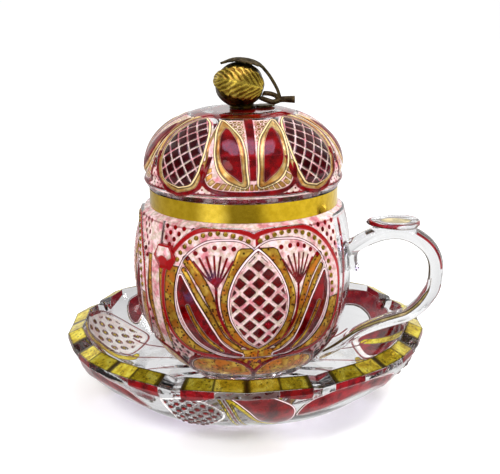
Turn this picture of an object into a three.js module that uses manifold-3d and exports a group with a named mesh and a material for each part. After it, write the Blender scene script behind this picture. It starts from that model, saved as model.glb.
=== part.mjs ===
// Covered cup of cased and cut glass on a scalloped dish, with a fruit finial of gilt bronze.
// Millimetres. Z is up, the dish stands on Z = 0 round the Z axis and the handle points along +X.
// Angles are in degrees, counted from -Y towards +X, so the handle is at 90.

import * as THREE from 'three';
import { mergeVertices } from 'three/addons/utils/BufferGeometryUtils.js';
import Module from 'manifold-3d';

const wasm = await Module();
wasm.setup();

// Fits
const SEAT_GAP = 0.3;
const SPIGOT_CLEARANCE = 0.5;
const STUD_CLEARANCE = 0.3;

// Dish
const DISH_RADIUS = 85;
const DISH_HEIGHT = 34.5;
const DISH_BASE_RADIUS = 49;
const DISH_SLOPE_RADIUS = 73;
const DISH_SLOPE_HEIGHT = 10;
const DISH_FLOOR_THICKNESS = 11.7;
const DISH_FLOOR_RADIUS = 54;
const DISH_WELL_RADIUS = 70;
const DISH_WELL_RISE = 2.5;
const DISH_BODY_RELIEF = 1.1;
const DISH_TURN = -12;
const RIM_LOBES = 8;
const FACETS_PER_LOBE = 4;
const FACET_WIDTH = 7;
const FACET_DROP = 3;
const RIM_EDGE_THICKNESS = 2.6;
const RIM_NOTCH_DEPTH = 3;
const RIM_NOTCH_DROP = 2.6;
const RIM_NOTCH_HALF_ANGLE = 3.4;
const RIM_NOTCH_EDGE_SHARE = 0.35;
const RIM_CUSP_DEPTH = 1;
const STAR_HUB_RADIUS = 9;
const STAR_RADIUS = 44.5;
const STAR_DEPTH = 1.4;
const STAR_RUN_OUT = 4;
const COLUMNS_PER_RAY = 4;

// Bowl, with heights above its foot
const FOOT_RADIUS = 28;
const FOOT_HEIGHT = 3.5;
const FOOT_LOBES = 8;
const FOOT_LOBE_DEPTH = 1.3;
const FOOT_HOLLOW_RADIUS = 22;
const FOOT_HOLLOW_DEPTH = 1.6;
const FOOT_TOP_RADIUS = 30;
const BARREL_CORE_RADIUS = 26;
const BARREL_RADIUS = 50.6;
const BARREL_HEIGHT = 49;
const BARREL_WALL = 5.2;
const BOWL_FLOOR = 8.5;
const SHOULDER_RADIUS = 47;
const SHOULDER_HEIGHT = 77.5;
const SHOULDER_LEDGE = 1.7;
const NECK_RADIUS = 43.8;
const NECK_HEIGHT = 88;
const NECK_WALL = 4.6;
const NECK_LIP = 0.8;
const BOWL_FLOOR_SHARE = 0.8;
const INSIDE_COLUMNS = 48;

// Cut panels of the bowl
const PANEL_RELIEF = 1.1;
const PANEL_EDGE_ANGLE = 1.3;
const SIDE_PANEL_CENTRE = 74.8;
const SIDE_PANEL_HALF_ANGLE = 53.8;
const BACK_PANEL_HALF_ANGLE = 43;
const PANEL_BOTTOM = 6.5;
const PANEL_BOTTOM_RISE = 3;
const PANEL_TOP = 73;
const PANEL_CUSP_DROP = 5;
const PANEL_SIDE_DROP = 15;
const PANEL_ARCH_PEAK = 0.45;
const PANEL_STEP = 0.9;
const JEWEL_WIDTH = 14;
const JEWEL_HEIGHT = 11;
const JEWEL_RISE = 2.4;
const JEWEL_TABLE_SHARE = 0.45;
const JEWEL_ANGLE = 123;
const JEWEL_CENTRE_HEIGHT = 63;
const MOTIF_TURN = 2.5;
const OVAL_HALF_ANGLE = 14.6;
const OVAL_LOW = 24.5;
const OVAL_HIGH = 67.5;
const OVAL_RISE = 1.2;
const OVAL_TOP_SHARE = 0.85;
const PANEL_LEAF_RISE = 1;
const PANEL_LEAF_RIDGE_SHARE = 0.3;
const PATCH_DEPTH = 1;
const PATCH_SINK = 0.25;

// Handle, with heights above the bowl's foot
const HANDLE_REACH = 90;
const HANDLE_ROOT = 57;
const HANDLE_TOP = 67;
const HANDLE_TOP_RADIUS = 70;
const HANDLE_SIDE = 50;
const HANDLE_LOW = 2.8;
const HANDLE_RIM_CLEARANCE = 1.2;
const HANDLE_WIDTH = 12;
const HANDLE_THICKNESS = 7;
const HANDLE_TAIL_WIDTH = 7;
const HANDLE_TAIL_THICKNESS = 4;
const HANDLE_CHAMFER_SHARE = 0.3;
const THUMB_REST_LENGTH = 25;
const THUMB_REST_WIDTH = 24;
const THUMB_REST_THICKNESS = 2.2;
const THUMB_REST_RADIUS = 71;
const TONGUE_LENGTH = 15;
const TONGUE_THICKNESS = 4;

// Lid, with heights above its lower edge
const LID_EDGE_RADIUS = 44.3;
const LID_RIM_RADIUS = 46;
const LID_RIM_HEIGHT = 3;
const LID_GROOVE_RADIUS = 45.1;
const LID_GROOVE_HEIGHT = 5.6;
const DOME_RADIUS = 46;
const DOME_CORE_RADIUS = 8;
const DOME_SPRING_HEIGHT = 9;
const LID_TOP_RADIUS = 21;
const LID_HEIGHT = 34.4;
const LID_WALL = 4.8;
const LID_CEILING = 5;
const LID_CEILING_FLAT = 9;
const LID_RELIEF = 1.1;
const LID_SECTORS = 8;
const LID_TURN = 13;
const LID_COLUMNS_PER_SECTOR = 8;
const TULIP_TURN = 13.5;
const TULIPS = 4;
const TULIP_PETAL_RISE = 0.8;
const TULIP_PETAL_RIDGE_SHARE = 0.4;
const LID_OVAL_TURN = 41.5;
const LID_OVAL_HALF_ANGLE = 14.5;
const LID_OVAL_LOW = 6;
const LID_OVAL_HIGH = 33;
const LID_OVAL_RISE = 0.5;
const SPIGOT_DEPTH = 5;
const SPIGOT_WALL = 3.8;

// Finial, with heights above the flat top of the lid, X to the twig's side
const FINIAL_TURN = 10;
const STUD_RADIUS = 2.4;
const STUD_GRIP = 5.5;
const STUD_TAIL = 1.2;
const WASHER_RADIUS = 7;
const WASHER_THICKNESS = 1.2;
const ROUND_STEPS = 16;
const NUT_RADIUS = 4.8;
const NUT_HEIGHT = 3.4;
const FINIAL_FOOT_RADIUS = 6;
const FINIAL_FOOT_HEIGHT = 2.4;
const FRUIT_RADIUS = 11.3;
const FRUIT_HALF_HEIGHT = 10.4;
const FRUIT_CENTRE_HEIGHT = 10.9;
const FRUIT_OFFSET = -1.2;
const FRONT_LEAF_HALF_ANGLE = 40;
const FRONT_LEAF_START = 26;
const FRONT_LEAF_SPAN = 144;
const FRONT_LEAF_TILT = 14;
const FRONT_LEAF_LIFT = 12;
const TOP_LEAF_HALF_WIDTH = 6.2;
const TOP_LEAF_CLEARANCE = 1.3;
const BASE_LEAF_LENGTH = 10;
const BASE_LEAF_HALF_WIDTH = 4;
const BASE_LEAF_TURN = 24;
const LEAF_THICKNESS = 0.9;
const LEAF_TEETH = 7;
const LEAF_TOOTH_SHARE = 0.16;
const TWIG_REACH = 24;
const TWIG_END_HEIGHT = 3.9;
const TWIG_THICKNESS = 3.4;
const BRANCH_THICKNESS = 2.2;
const STALK_THICKNESS = 1.5;

const { degToRad, lerp, clamp } = THREE.MathUtils;
const dishFloor = DISH_FLOOR_THICKNESS;
const bowlBase = dishFloor + SEAT_GAP;
const lidBase = bowlBase + NECK_HEIGHT + SEAT_GAP;
const finialBase = lidBase + LID_HEIGHT;
const neckBore = NECK_RADIUS - NECK_WALL;

// A point at an angle round the Z axis.
function around(angle, radius, height) {
  const turn = degToRad(angle);
  return new THREE.Vector3(radius * Math.sin(turn), -radius * Math.cos(turn), height);
}

function ringAt(angles, radius, height) {
  return angles.map((angle) => around(angle, radius, height));
}

function evenAngles(count, start = 0) {
  return Array.from({ length: count }, (_, index) => start + (360 * index) / count);
}

function signedVolume(points, faces) {
  let volume = 0;
  for (let i = 0; i < faces.length; i += 3) {
    const [a, b, c] = [points[faces[i]], points[faces[i + 1]], points[faces[i + 2]]];
    volume += a.dot(new THREE.Vector3().crossVectors(b, c)) / 6;
  }
  return volume;
}

function meshGeometry(points, faces) {
  const outward = signedVolume(points, faces) > 0 ? faces : [...faces].reverse();
  const geometry = new THREE.BufferGeometry().setFromPoints(points);
  geometry.setIndex(outward);
  geometry.computeVertexNormals();
  return geometry;
}

// One closed body from rings of equally many points. Open ends get a flat fan.
function bodyFromRings(rings, closesOnItself = false) {
  const columns = rings[0].length;
  const points = rings.flat();
  const faces = [];
  const steps = closesOnItself ? rings.length : rings.length - 1;
  for (let i = 0; i < steps; i++) {
    const low = i * columns;
    const high = ((i + 1) % rings.length) * columns;
    for (let j = 0; j < columns; j++) {
      const next = (j + 1) % columns;
      faces.push(low + j, low + next, high + next);
      faces.push(low + j, high + next, high + j);
    }
  }
  if (!closesOnItself) {
    addFan(points, faces, 0, columns, true);
    addFan(points, faces, (rings.length - 1) * columns, columns, false);
  }
  return meshGeometry(points, faces);
}

function addFan(points, faces, first, columns, isStart) {
  const centre = new THREE.Vector3();
  for (let j = 0; j < columns; j++) {
    centre.addScaledVector(points[first + j], 1 / columns);
  }
  const hub = points.push(centre) - 1;
  for (let j = 0; j < columns; j++) {
    const next = (j + 1) % columns;
    faces.push(hub, first + (isStart ? next : j), first + (isStart ? j : next));
  }
}

function toSolid(geometry) {
  const plain = geometry.clone();
  plain.deleteAttribute('normal');
  plain.deleteAttribute('uv');
  const merged = mergeVertices(plain, 1e-4);
  return new wasm.Manifold(new wasm.Mesh({
    numProp: 3,
    vertProperties: new Float32Array(merged.attributes.position.array),
    triVerts: new Uint32Array(merged.index.array),
  }));
}

function toGeometry(solid) {
  const mesh = solid.getMesh();
  const geometry = new THREE.BufferGeometry();
  geometry.setAttribute('position', new THREE.BufferAttribute(new Float32Array(mesh.vertProperties), 3));
  geometry.setIndex(new THREE.BufferAttribute(new Uint32Array(mesh.triVerts), 1));
  geometry.computeVertexNormals();
  return geometry;
}

function join(first, ...others) {
  const solids = others.map(toSolid);
  return toGeometry(solids.reduce((whole, solid) => whole.add(solid), toSolid(first)));
}

function cut(geometry, tool) {
  return toGeometry(toSolid(geometry).subtract(toSolid(tool)));
}

// Upright cylinder between two heights.
function rod(radius, low, high, sides = ROUND_STEPS) {
  const geometry = new THREE.CylinderGeometry(radius, radius, high - low, sides);
  geometry.rotateX(Math.PI / 2);
  geometry.translate(0, 0, (low + high) / 2);
  return geometry;
}

// Dish: a lobed rim of flat facets, a star cut base and a round well.

const dishColumnsPerLobe = 2 * FACETS_PER_LOBE + 2;
const dishColumns = RIM_LOBES * dishColumnsPerLobe;
const lobeAngle = 360 / RIM_LOBES;

// Angle of a column, from even at the base to the places of the facets at the rim.
function dishAngle(column, rimShare) {
  const lobe = Math.floor(column / dishColumnsPerLobe);
  const place = column % dishColumnsPerLobe;
  const even = (lobeAngle * place) / dishColumnsPerLobe;
  const facetAngle = (lobeAngle - 2 * RIM_NOTCH_HALF_ANGLE) / (dishColumnsPerLobe - 2);
  const faceted = place === 0 ? 0 : RIM_NOTCH_HALF_ANGLE + (place - 1) * facetAngle;
  return DISH_TURN + lobe * lobeAngle + lerp(even, faceted, rimShare);
}

// How far the rim falls back at a column: a notch between lobes and a cusp in each lobe's middle.
function rimSetBack(column) {
  const place = column % dishColumnsPerLobe;
  const middle = dishColumnsPerLobe / 2;
  if (place === 0) {
    return 1;
  }
  if (place === 1 || place === dishColumnsPerLobe - 1) {
    return RIM_NOTCH_EDGE_SHARE;
  }
  return place === middle ? RIM_CUSP_DEPTH / RIM_NOTCH_DEPTH : 0;
}

// A ring of the rim, where each facet is straight between its corners.
function rimRing(radius, height) {
  const ring = [];
  for (let column = 0; column < dishColumns; column++) {
    const back = rimSetBack(column);
    ring.push(around(dishAngle(column, 1), radius - RIM_NOTCH_DEPTH * back, height - RIM_NOTCH_DROP * back));
  }
  for (let column = 0; column < dishColumns; column++) {
    const place = column % dishColumnsPerLobe;
    if (place > 1 && place % 2 === 0) {
      ring[column].lerpVectors(ring[column - 1], ring[column + 1], 0.5);
    }
  }
  return ring;
}

function dishRing(radius, height, rimShare, reliefShare) {
  const ring = [];
  for (let column = 0; column < dishColumns; column++) {
    const angle = dishAngle(column, rimShare);
    const wave = Math.abs(Math.cos(degToRad(((angle - DISH_TURN) * RIM_LOBES) / 2)));
    ring.push(around(angle, radius + DISH_BODY_RELIEF * reliefShare * wave, height));
  }
  return ring;
}

function starRing(radius) {
  const ring = dishRing(radius, 0, 0, 0);
  ring.forEach((point, column) => {
    const place = (column % COLUMNS_PER_RAY) / COLUMNS_PER_RAY;
    point.z = STAR_DEPTH * (1 - Math.abs(2 * place - 1));
  });
  return ring;
}

function saucerGeometry() {
  const rimEdge = DISH_HEIGHT - FACET_DROP;
  const underside = new THREE.QuadraticBezierCurve(
    new THREE.Vector2(DISH_BASE_RADIUS, 0),
    new THREE.Vector2(DISH_SLOPE_RADIUS, DISH_SLOPE_HEIGHT),
    new THREE.Vector2(DISH_RADIUS, rimEdge - RIM_EDGE_THICKNESS),
  );
  const well = new THREE.QuadraticBezierCurve(
    new THREE.Vector2(DISH_FLOOR_RADIUS, dishFloor),
    new THREE.Vector2(DISH_WELL_RADIUS, dishFloor + DISH_WELL_RISE),
    new THREE.Vector2(DISH_RADIUS - FACET_WIDTH, DISH_HEIGHT),
  );
  const rings = [
    dishRing(STAR_HUB_RADIUS, 0, 0, 0),
    starRing(STAR_HUB_RADIUS + STAR_RUN_OUT),
    starRing(STAR_RADIUS - STAR_RUN_OUT),
    dishRing(STAR_RADIUS, 0, 0, 0),
  ];
  for (const share of [0, 0.2, 0.4, 0.6, 0.8]) {
    const point = underside.getPoint(share);
    rings.push(dishRing(point.x, point.y, share, Math.sin(Math.PI * share)));
  }
  rings.push(rimRing(DISH_RADIUS, rimEdge - RIM_EDGE_THICKNESS));
  rings.push(rimRing(DISH_RADIUS, rimEdge));
  rings.push(rimRing(DISH_RADIUS - FACET_WIDTH, DISH_HEIGHT));
  for (const share of [0.85, 0.65, 0.45, 0.22, 0]) {
    const point = well.getPoint(share);
    rings.push(dishRing(point.x, point.y, share, 0));
  }
  return bodyFromRings(rings);
}

// Bowl: a barrel of two elliptic arcs, with raised heart topped panels.

const toPanelEdge = SIDE_PANEL_CENTRE + SIDE_PANEL_HALF_ANGLE;
const bowlPanels = [
  { centre: -SIDE_PANEL_CENTRE, half: SIDE_PANEL_HALF_ANGLE, columns: 18 },
  { centre: SIDE_PANEL_CENTRE, half: SIDE_PANEL_HALF_ANGLE, columns: 18 },
  { centre: 180, half: BACK_PANEL_HALF_ANGLE, columns: 14 },
];

// Column angles from the handle's plane: inside each panel, and across the plain strips between them.
function bowlAngles() {
  const angles = [];
  for (const { centre, half, columns } of bowlPanels) {
    angles.push(centre - half, centre + half);
    const inner = half - PANEL_EDGE_ANGLE;
    for (let i = 0; i <= columns; i++) {
      angles.push(centre - inner + (2 * inner * i) / columns);
    }
  }
  const strip = SIDE_PANEL_CENTRE - SIDE_PANEL_HALF_ANGLE;
  for (let i = 1; i < 8; i++) {
    angles.push(strip * (i / 4 - 1));
  }
  const pillarMiddle = (toPanelEdge + 180 - BACK_PANEL_HALF_ANGLE) / 2;
  angles.push(pillarMiddle, -pillarMiddle);
  return angles.map((angle) => ((angle % 360) + 360) % 360).sort((a, b) => a - b);
}

// Where an angle lies across its panel, from -1 to 1, or null between panels.
function panelPlace(angle) {
  for (const { centre, half } of bowlPanels) {
    const offset = ((angle - centre + 540) % 360) - 180;
    if (Math.abs(offset) <= half + 1e-6) {
      return clamp(offset / half, -1, 1);
    }
  }
  return null;
}

function panelTop(place) {
  const across = place === null ? 1 : Math.abs(place);
  if (across < PANEL_ARCH_PEAK) {
    return PANEL_TOP - PANEL_CUSP_DROP * (1 - across / PANEL_ARCH_PEAK) ** 2;
  }
  const side = (across - PANEL_ARCH_PEAK) / (1 - PANEL_ARCH_PEAK);
  return PANEL_TOP - PANEL_SIDE_DROP * (1 - Math.sqrt(Math.max(0, 1 - side * side)));
}

function panelBottom(place) {
  const across = place === null ? 1 : Math.abs(place);
  return PANEL_BOTTOM + PANEL_BOTTOM_RISE * across ** 6;
}

// Height of the arc that leaves the barrel's widest place and passes a given radius at a given height.
function arcReach(height, radius) {
  const share = (radius - BARREL_CORE_RADIUS) / (BARREL_RADIUS - BARREL_CORE_RADIUS);
  return Math.abs(height - BARREL_HEIGHT) / Math.sqrt(1 - share * share);
}

const lowerArc = arcReach(FOOT_HEIGHT, FOOT_TOP_RADIUS);
const upperArc = arcReach(SHOULDER_HEIGHT, SHOULDER_RADIUS);

function barrelRadius(height) {
  const arc = height < BARREL_HEIGHT ? lowerArc : upperArc;
  const share = (height - BARREL_HEIGHT) / arc;
  const swell = Math.sqrt(Math.max(0, 1 - share * share));
  return lerp(BARREL_CORE_RADIUS, BARREL_RADIUS, swell);
}

function footRadius(angle, radius) {
  return radius + FOOT_LOBE_DEPTH * Math.abs(Math.sin(degToRad((angle * FOOT_LOBES) / 2)));
}

// Outer rings of the bowl, from the foot to the top of the neck, grown outwards by a margin.
function bowlOuterRings(margin) {
  const angles = bowlAngles();
  const ringOf = (heightAt, radiusAt) => angles.map((angle) => {
    const place = panelPlace(angle);
    const height = heightAt(place);
    return around(angle + 90, radiusAt(angle, height, place) + margin, height);
  });
  const plain = (angle, height) => barrelRadius(height);
  const raised = (angle, height, place) => {
    const inside = place !== null && Math.abs(place) < 1 - 1e-6;
    return barrelRadius(height) + (inside ? PANEL_RELIEF : 0);
  };
  const rings = [
    ringOf(() => 0, (angle) => footRadius(angle, FOOT_RADIUS)),
    ringOf(() => FOOT_HEIGHT, (angle) => footRadius(angle, FOOT_TOP_RADIUS)),
    ringOf((place) => panelBottom(place) - PANEL_STEP, plain),
  ];
  for (const share of [0, 0.12, 0.26, 0.42, 0.6, 0.8, 1]) {
    const heightAt = (place) => lerp(panelBottom(place) + PANEL_STEP, panelTop(place) - PANEL_STEP, share);
    rings.push(ringOf(heightAt, raised));
  }
  rings.push(ringOf((place) => panelTop(place) + PANEL_STEP, plain));
  rings.push(ringOf(() => SHOULDER_HEIGHT, plain));
  rings.push(ringOf(() => SHOULDER_HEIGHT + SHOULDER_LEDGE, () => NECK_RADIUS));
  rings.push(ringOf(() => NECK_HEIGHT, () => NECK_RADIUS));
  return rings;
}

// Shares across and up of a pointed oval, and of a leaf that leans outwards, each round its outline.
const OVAL_HALF_OUTLINE = [[0, 1], [0.42, 0.74], [0.78, 0.42], [1, 0.05], [0.9, -0.35], [0.55, -0.75]];
const OVAL_OUTLINE = [
  ...OVAL_HALF_OUTLINE,
  [0, -1],
  ...OVAL_HALF_OUTLINE.slice(1).reverse().map(([across, up]) => [-across, up]),
];

// Places on a panel's right half, in degrees from its middle and heights over the foot.
const PANEL_LEAF = [[10, 23.2], [18, 24], [28, 30], [35, 38.5], [38.4, 48], [38.2, 56], [30, 46], [21, 34.5]];

// Places on a tulip's right half, in degrees from its middle and heights over the lid's lower edge.
const TULIP_PETAL = [[5.9, 10], [13.8, 14.3], [17.8, 20.5], [19.9, 28], [18.6, 30.9], [12, 28.4], [6.9, 22.3]];

// A raised patch on a curved body. pointAt gives the body's point at a place, moved outwards.
function patchGeometry(outline, pointAt, rise, topShare) {
  const middle = [0, 1].map((axis) => outline.reduce((sum, place) => sum + place[axis], 0) / outline.length);
  const ring = (share, off) => outline.map(([across, up]) => (
    pointAt(lerp(middle[0], across, share), lerp(middle[1], up, share), off)
  ));
  return bodyFromRings([
    ring(topShare, -PATCH_DEPTH),
    ring(1, -PATCH_SINK),
    ring(topShare, rise),
    ring(topShare / 2, rise),
    ring(topShare / 8, rise),
  ]);
}

function mirrored(outline) {
  return outline.map(([across, up]) => [-across, up]);
}

// The raised lattice oval and the two leaves of every panel.
function panelPatches() {
  const middleHeight = (OVAL_HIGH + OVAL_LOW) / 2;
  const halfHeight = (OVAL_HIGH - OVAL_LOW) / 2;
  return bowlPanels.flatMap(({ centre, half }) => {
    const squeeze = half / SIDE_PANEL_HALF_ANGLE;
    const pointAt = (across, up, off) => (
      around(centre + MOTIF_TURN + across * squeeze + 90, barrelRadius(up) + PANEL_RELIEF + off, up)
    );
    const ovalAt = (across, up, off) => (
      pointAt(across * OVAL_HALF_ANGLE, middleHeight + up * halfHeight, off)
    );
    return [
      patchGeometry(OVAL_OUTLINE, ovalAt, OVAL_RISE, OVAL_TOP_SHARE),
      patchGeometry(PANEL_LEAF, pointAt, PANEL_LEAF_RISE, PANEL_LEAF_RIDGE_SHARE),
      patchGeometry(mirrored(PANEL_LEAF), pointAt, PANEL_LEAF_RISE, PANEL_LEAF_RIDGE_SHARE),
    ];
  });
}

// A hexagonal cut jewel: a low pyramid with a flat table, lying on the barrel.
function jewelGeometry(angle) {
  const seat = barrelRadius(JEWEL_CENTRE_HEIGHT);
  const section = (share, radius) => Array.from({ length: 6 }, (_, corner) => {
    const turn = degToRad(60 * corner);
    const sideways = (JEWEL_WIDTH / 2) * share * Math.cos(turn);
    const upwards = (JEWEL_HEIGHT / 2) * share * Math.sin(turn) / Math.sin(degToRad(60));
    return new THREE.Vector3(radius, sideways, JEWEL_CENTRE_HEIGHT + upwards);
  });
  const geometry = bodyFromRings([
    section(1, seat - BARREL_WALL / 2),
    section(1, seat + PANEL_RELIEF / 2),
    section(JEWEL_TABLE_SHARE, seat + JEWEL_RISE),
  ]);
  return geometry.rotateZ(degToRad(angle));
}

// The room inside the bowl, from its floor to just over the chamfered lip.
function bowlInside() {
  const angles = evenAngles(INSIDE_COLUMNS);
  const floorCurve = lerp(BOWL_FLOOR, BARREL_HEIGHT, 0.1);
  const rings = [
    ringAt(angles, FOOT_RADIUS * BOWL_FLOOR_SHARE, BOWL_FLOOR),
    ringAt(angles, barrelRadius(floorCurve) - BARREL_WALL, floorCurve),
  ];
  for (const share of [0.2, 0.5, 0.75]) {
    const height = lerp(BOWL_FLOOR, SHOULDER_HEIGHT, share);
    rings.push(ringAt(angles, barrelRadius(height) - BARREL_WALL, height));
  }
  rings.push(ringAt(angles, neckBore, SHOULDER_HEIGHT));
  rings.push(ringAt(angles, neckBore, NECK_HEIGHT - NECK_LIP));
  rings.push(ringAt(angles, neckBore + 2 * NECK_LIP, NECK_HEIGHT + NECK_LIP));
  return bodyFromRings(rings);
}

function bowlGeometry() {
  const angles = bowlAngles().map((angle) => angle + 90);
  const outside = bodyFromRings([
    ringAt(angles, FOOT_HOLLOW_RADIUS - FOOT_HOLLOW_DEPTH, FOOT_HOLLOW_DEPTH),
    ringAt(angles, FOOT_HOLLOW_RADIUS, 0),
    ...bowlOuterRings(0),
  ]);
  const jewels = [jewelGeometry(JEWEL_ANGLE), jewelGeometry(-JEWEL_ANGLE)];
  return cut(join(outside, ...jewels, ...panelPatches()), bowlInside());
}

// Handle: a chamfered strap in the XZ plane, with a thumb rest and a tongue down the barrel.

// Rings of an eight sided section along a path in the XZ plane.
function strapGeometry(path, steps, sizeAt) {
  const rings = [];
  for (let i = 0; i <= steps; i++) {
    const share = i / steps;
    const centre = path.getPointAt(share);
    const tangent = path.getTangentAt(share);
    const normal = new THREE.Vector3(-tangent.z, 0, tangent.x);
    const { width, thickness } = sizeAt(share);
    const chamfer = HANDLE_CHAMFER_SHARE * thickness;
    const corners = [
      [width / 2, thickness / 2 - chamfer],
      [width / 2 - chamfer, thickness / 2],
      [chamfer - width / 2, thickness / 2],
      [-width / 2, thickness / 2 - chamfer],
      [-width / 2, chamfer - thickness / 2],
      [chamfer - width / 2, -thickness / 2],
      [width / 2 - chamfer, -thickness / 2],
      [width / 2, chamfer - thickness / 2],
    ];
    rings.push(corners.map(([sideways, out]) => {
      const point = centre.clone().addScaledVector(normal, out);
      point.y = sideways;
      return point;
    }));
  }
  return bodyFromRings(rings);
}

// The loop of the handle: out from the barrel, round its outermost place, over the rim of the dish
// and down to the foot. Each stretch is given in shares between its ends.
function handlePath() {
  const root = [BARREL_RADIUS - BARREL_WALL / 2, HANDLE_ROOT];
  const top = [HANDLE_TOP_RADIUS, HANDLE_TOP];
  const side = [HANDLE_REACH, HANDLE_SIDE];
  const overRim = [
    DISH_RADIUS - FACET_WIDTH,
    DISH_HEIGHT + HANDLE_RIM_CLEARANCE + HANDLE_THICKNESS / 2 - bowlBase,
  ];
  const tail = [FOOT_TOP_RADIUS + HANDLE_TAIL_THICKNESS, HANDLE_LOW];
  const stretches = [
    [root, top, [[0, 0], [0.53, 0.71]]],
    [top, side, [[0, 0], [0.4, 0.07], [0.75, 0.33], [0.94, 0.65]]],
    [side, overRim, [[0, 0], [0.07, 0.37], [0.29, 0.6], [0.58, 0.81]]],
    [overRim, tail, [[0, 0], [0.13, 0.1], [0.38, 0.27], [0.59, 0.47], [0.79, 0.7], [1, 1]]],
  ];
  const points = stretches.flatMap(([from, to, shares]) => shares.map(([out, up]) => new THREE.Vector3(
    lerp(from[0], to[0], out),
    0,
    lerp(from[1], to[1], up),
  )));
  return new THREE.CatmullRomCurve3(points, false, 'centripetal');
}

function thumbRestGeometry() {
  const outline = new THREE.Shape();
  const half = THUMB_REST_LENGTH / 2;
  const side = THUMB_REST_WIDTH / 2;
  outline.moveTo(-half, 0);
  outline.bezierCurveTo(-half * 0.7, side * 0.9, -half * 0.25, side, half * 0.1, side);
  outline.bezierCurveTo(half * 0.75, side, half, side * 0.6, half, 0);
  outline.bezierCurveTo(half, -side * 0.6, half * 0.75, -side, half * 0.1, -side);
  outline.bezierCurveTo(-half * 0.25, -side, -half * 0.7, -side * 0.9, -half, 0);
  const bevel = THUMB_REST_THICKNESS / 4;
  const geometry = new THREE.ExtrudeGeometry(outline, {
    depth: THUMB_REST_THICKNESS - bevel,
    curveSegments: 6,
    bevelThickness: bevel,
    bevelSize: bevel,
    bevelOffset: -bevel,
    bevelSegments: 1,
  });
  const strapTop = HANDLE_TOP + HANDLE_THICKNESS / 2;
  geometry.translate(THUMB_REST_RADIUS, 0, strapTop - bevel);
  return geometry;
}

function tongueGeometry() {
  const top = lerp(HANDLE_ROOT, HANDLE_TOP, 0.55);
  const out = BARREL_RADIUS + TONGUE_THICKNESS / 4;
  const path = new THREE.CatmullRomCurve3([
    new THREE.Vector3(out + TONGUE_THICKNESS, 0, top),
    new THREE.Vector3(out, 0, top - TONGUE_LENGTH * 0.4),
    new THREE.Vector3(out, 0, top - TONGUE_LENGTH * 0.8),
    new THREE.Vector3(out + TONGUE_THICKNESS / 2, 0, top - TONGUE_LENGTH),
  ]);
  return strapGeometry(path, 8, (share) => ({
    width: lerp(HANDLE_WIDTH, HANDLE_TAIL_WIDTH, share * share),
    thickness: lerp(HANDLE_THICKNESS, TONGUE_THICKNESS, share),
  }));
}

function handleGeometry() {
  const strap = strapGeometry(handlePath(), 30, (share) => {
    const taper = clamp((share - 0.55) / 0.45, 0, 1);
    return {
      width: lerp(HANDLE_WIDTH, HANDLE_TAIL_WIDTH, taper),
      thickness: lerp(HANDLE_THICKNESS, HANDLE_TAIL_THICKNESS, taper),
    };
  });
  const whole = join(strap, thumbRestGeometry(), tongueGeometry());
  return cut(whole, bodyFromRings(bowlOuterRings(SEAT_GAP)));
}

// Lid: a hollow dome with lobed sectors, a spigot for the neck and a hole for the stud.

function domeRadius(height) {
  const topShare = (LID_TOP_RADIUS - DOME_CORE_RADIUS) / (DOME_RADIUS - DOME_CORE_RADIUS);
  const reach = (LID_HEIGHT - DOME_SPRING_HEIGHT) / Math.sqrt(1 - topShare * topShare);
  const share = clamp((height - DOME_SPRING_HEIGHT) / reach, 0, 1);
  return DOME_CORE_RADIUS + (DOME_RADIUS - DOME_CORE_RADIUS) * Math.sqrt(1 - share * share);
}

// Radius of the lobed dome, whose crests fade out towards the top.
function lobedRadius(angle, height) {
  const share = clamp((height - DOME_SPRING_HEIGHT) / (LID_HEIGHT - DOME_SPRING_HEIGHT), 0, 1);
  const wave = Math.abs(Math.cos(degToRad(((angle - LID_TURN) * LID_SECTORS) / 2)));
  return domeRadius(height) + LID_RELIEF * Math.cos((Math.PI / 2) * share) * (wave - 0.5);
}

// The domed petals of every tulip, and the raised ovals on either side of the front and back tulips.
function lidPatches() {
  const middleHeight = (LID_OVAL_HIGH + LID_OVAL_LOW) / 2;
  const halfHeight = (LID_OVAL_HIGH - LID_OVAL_LOW) / 2;
  const pointAt = (angle, up, off) => around(angle, lobedRadius(angle, up) + off, up);
  const petals = evenAngles(TULIPS, TULIP_TURN).flatMap((turn) => (
    [TULIP_PETAL, mirrored(TULIP_PETAL)].map((outline) => patchGeometry(
      outline,
      (across, up, off) => pointAt(turn + across, up, off),
      TULIP_PETAL_RISE,
      TULIP_PETAL_RIDGE_SHARE,
    ))
  ));
  const ovals = evenAngles(2, TULIP_TURN).flatMap((turn) => (
    [turn - LID_OVAL_TURN, turn + LID_OVAL_TURN].map((centre) => patchGeometry(
      OVAL_OUTLINE,
      (across, up, off) => (
        pointAt(centre + across * LID_OVAL_HALF_ANGLE, middleHeight + up * halfHeight, off)
      ),
      LID_OVAL_RISE,
      OVAL_TOP_SHARE,
    ))
  ));
  return [...petals, ...ovals];
}

const spigotRadius = neckBore - SPIGOT_CLEARANCE;
const spigotBore = spigotRadius - SPIGOT_WALL;

// The room under the dome, from below the spigot to the ceiling.
function lidInside() {
  const angles = evenAngles(INSIDE_COLUMNS);
  const ceiling = LID_HEIGHT - LID_CEILING;
  const rings = [
    ringAt(angles, spigotBore, -SPIGOT_DEPTH - SPIGOT_WALL),
    ringAt(angles, spigotBore, 0),
  ];
  for (const share of [0.25, 0.55, 0.82]) {
    const height = lerp(DOME_SPRING_HEIGHT, ceiling, share);
    const inside = domeRadius(height + LID_CEILING * share) - LID_WALL - LID_RELIEF;
    rings.push(ringAt(angles, Math.min(inside, spigotBore + LID_WALL / 2), height));
  }
  rings.push(ringAt(angles, LID_CEILING_FLAT, ceiling));
  return bodyFromRings(rings);
}

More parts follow.
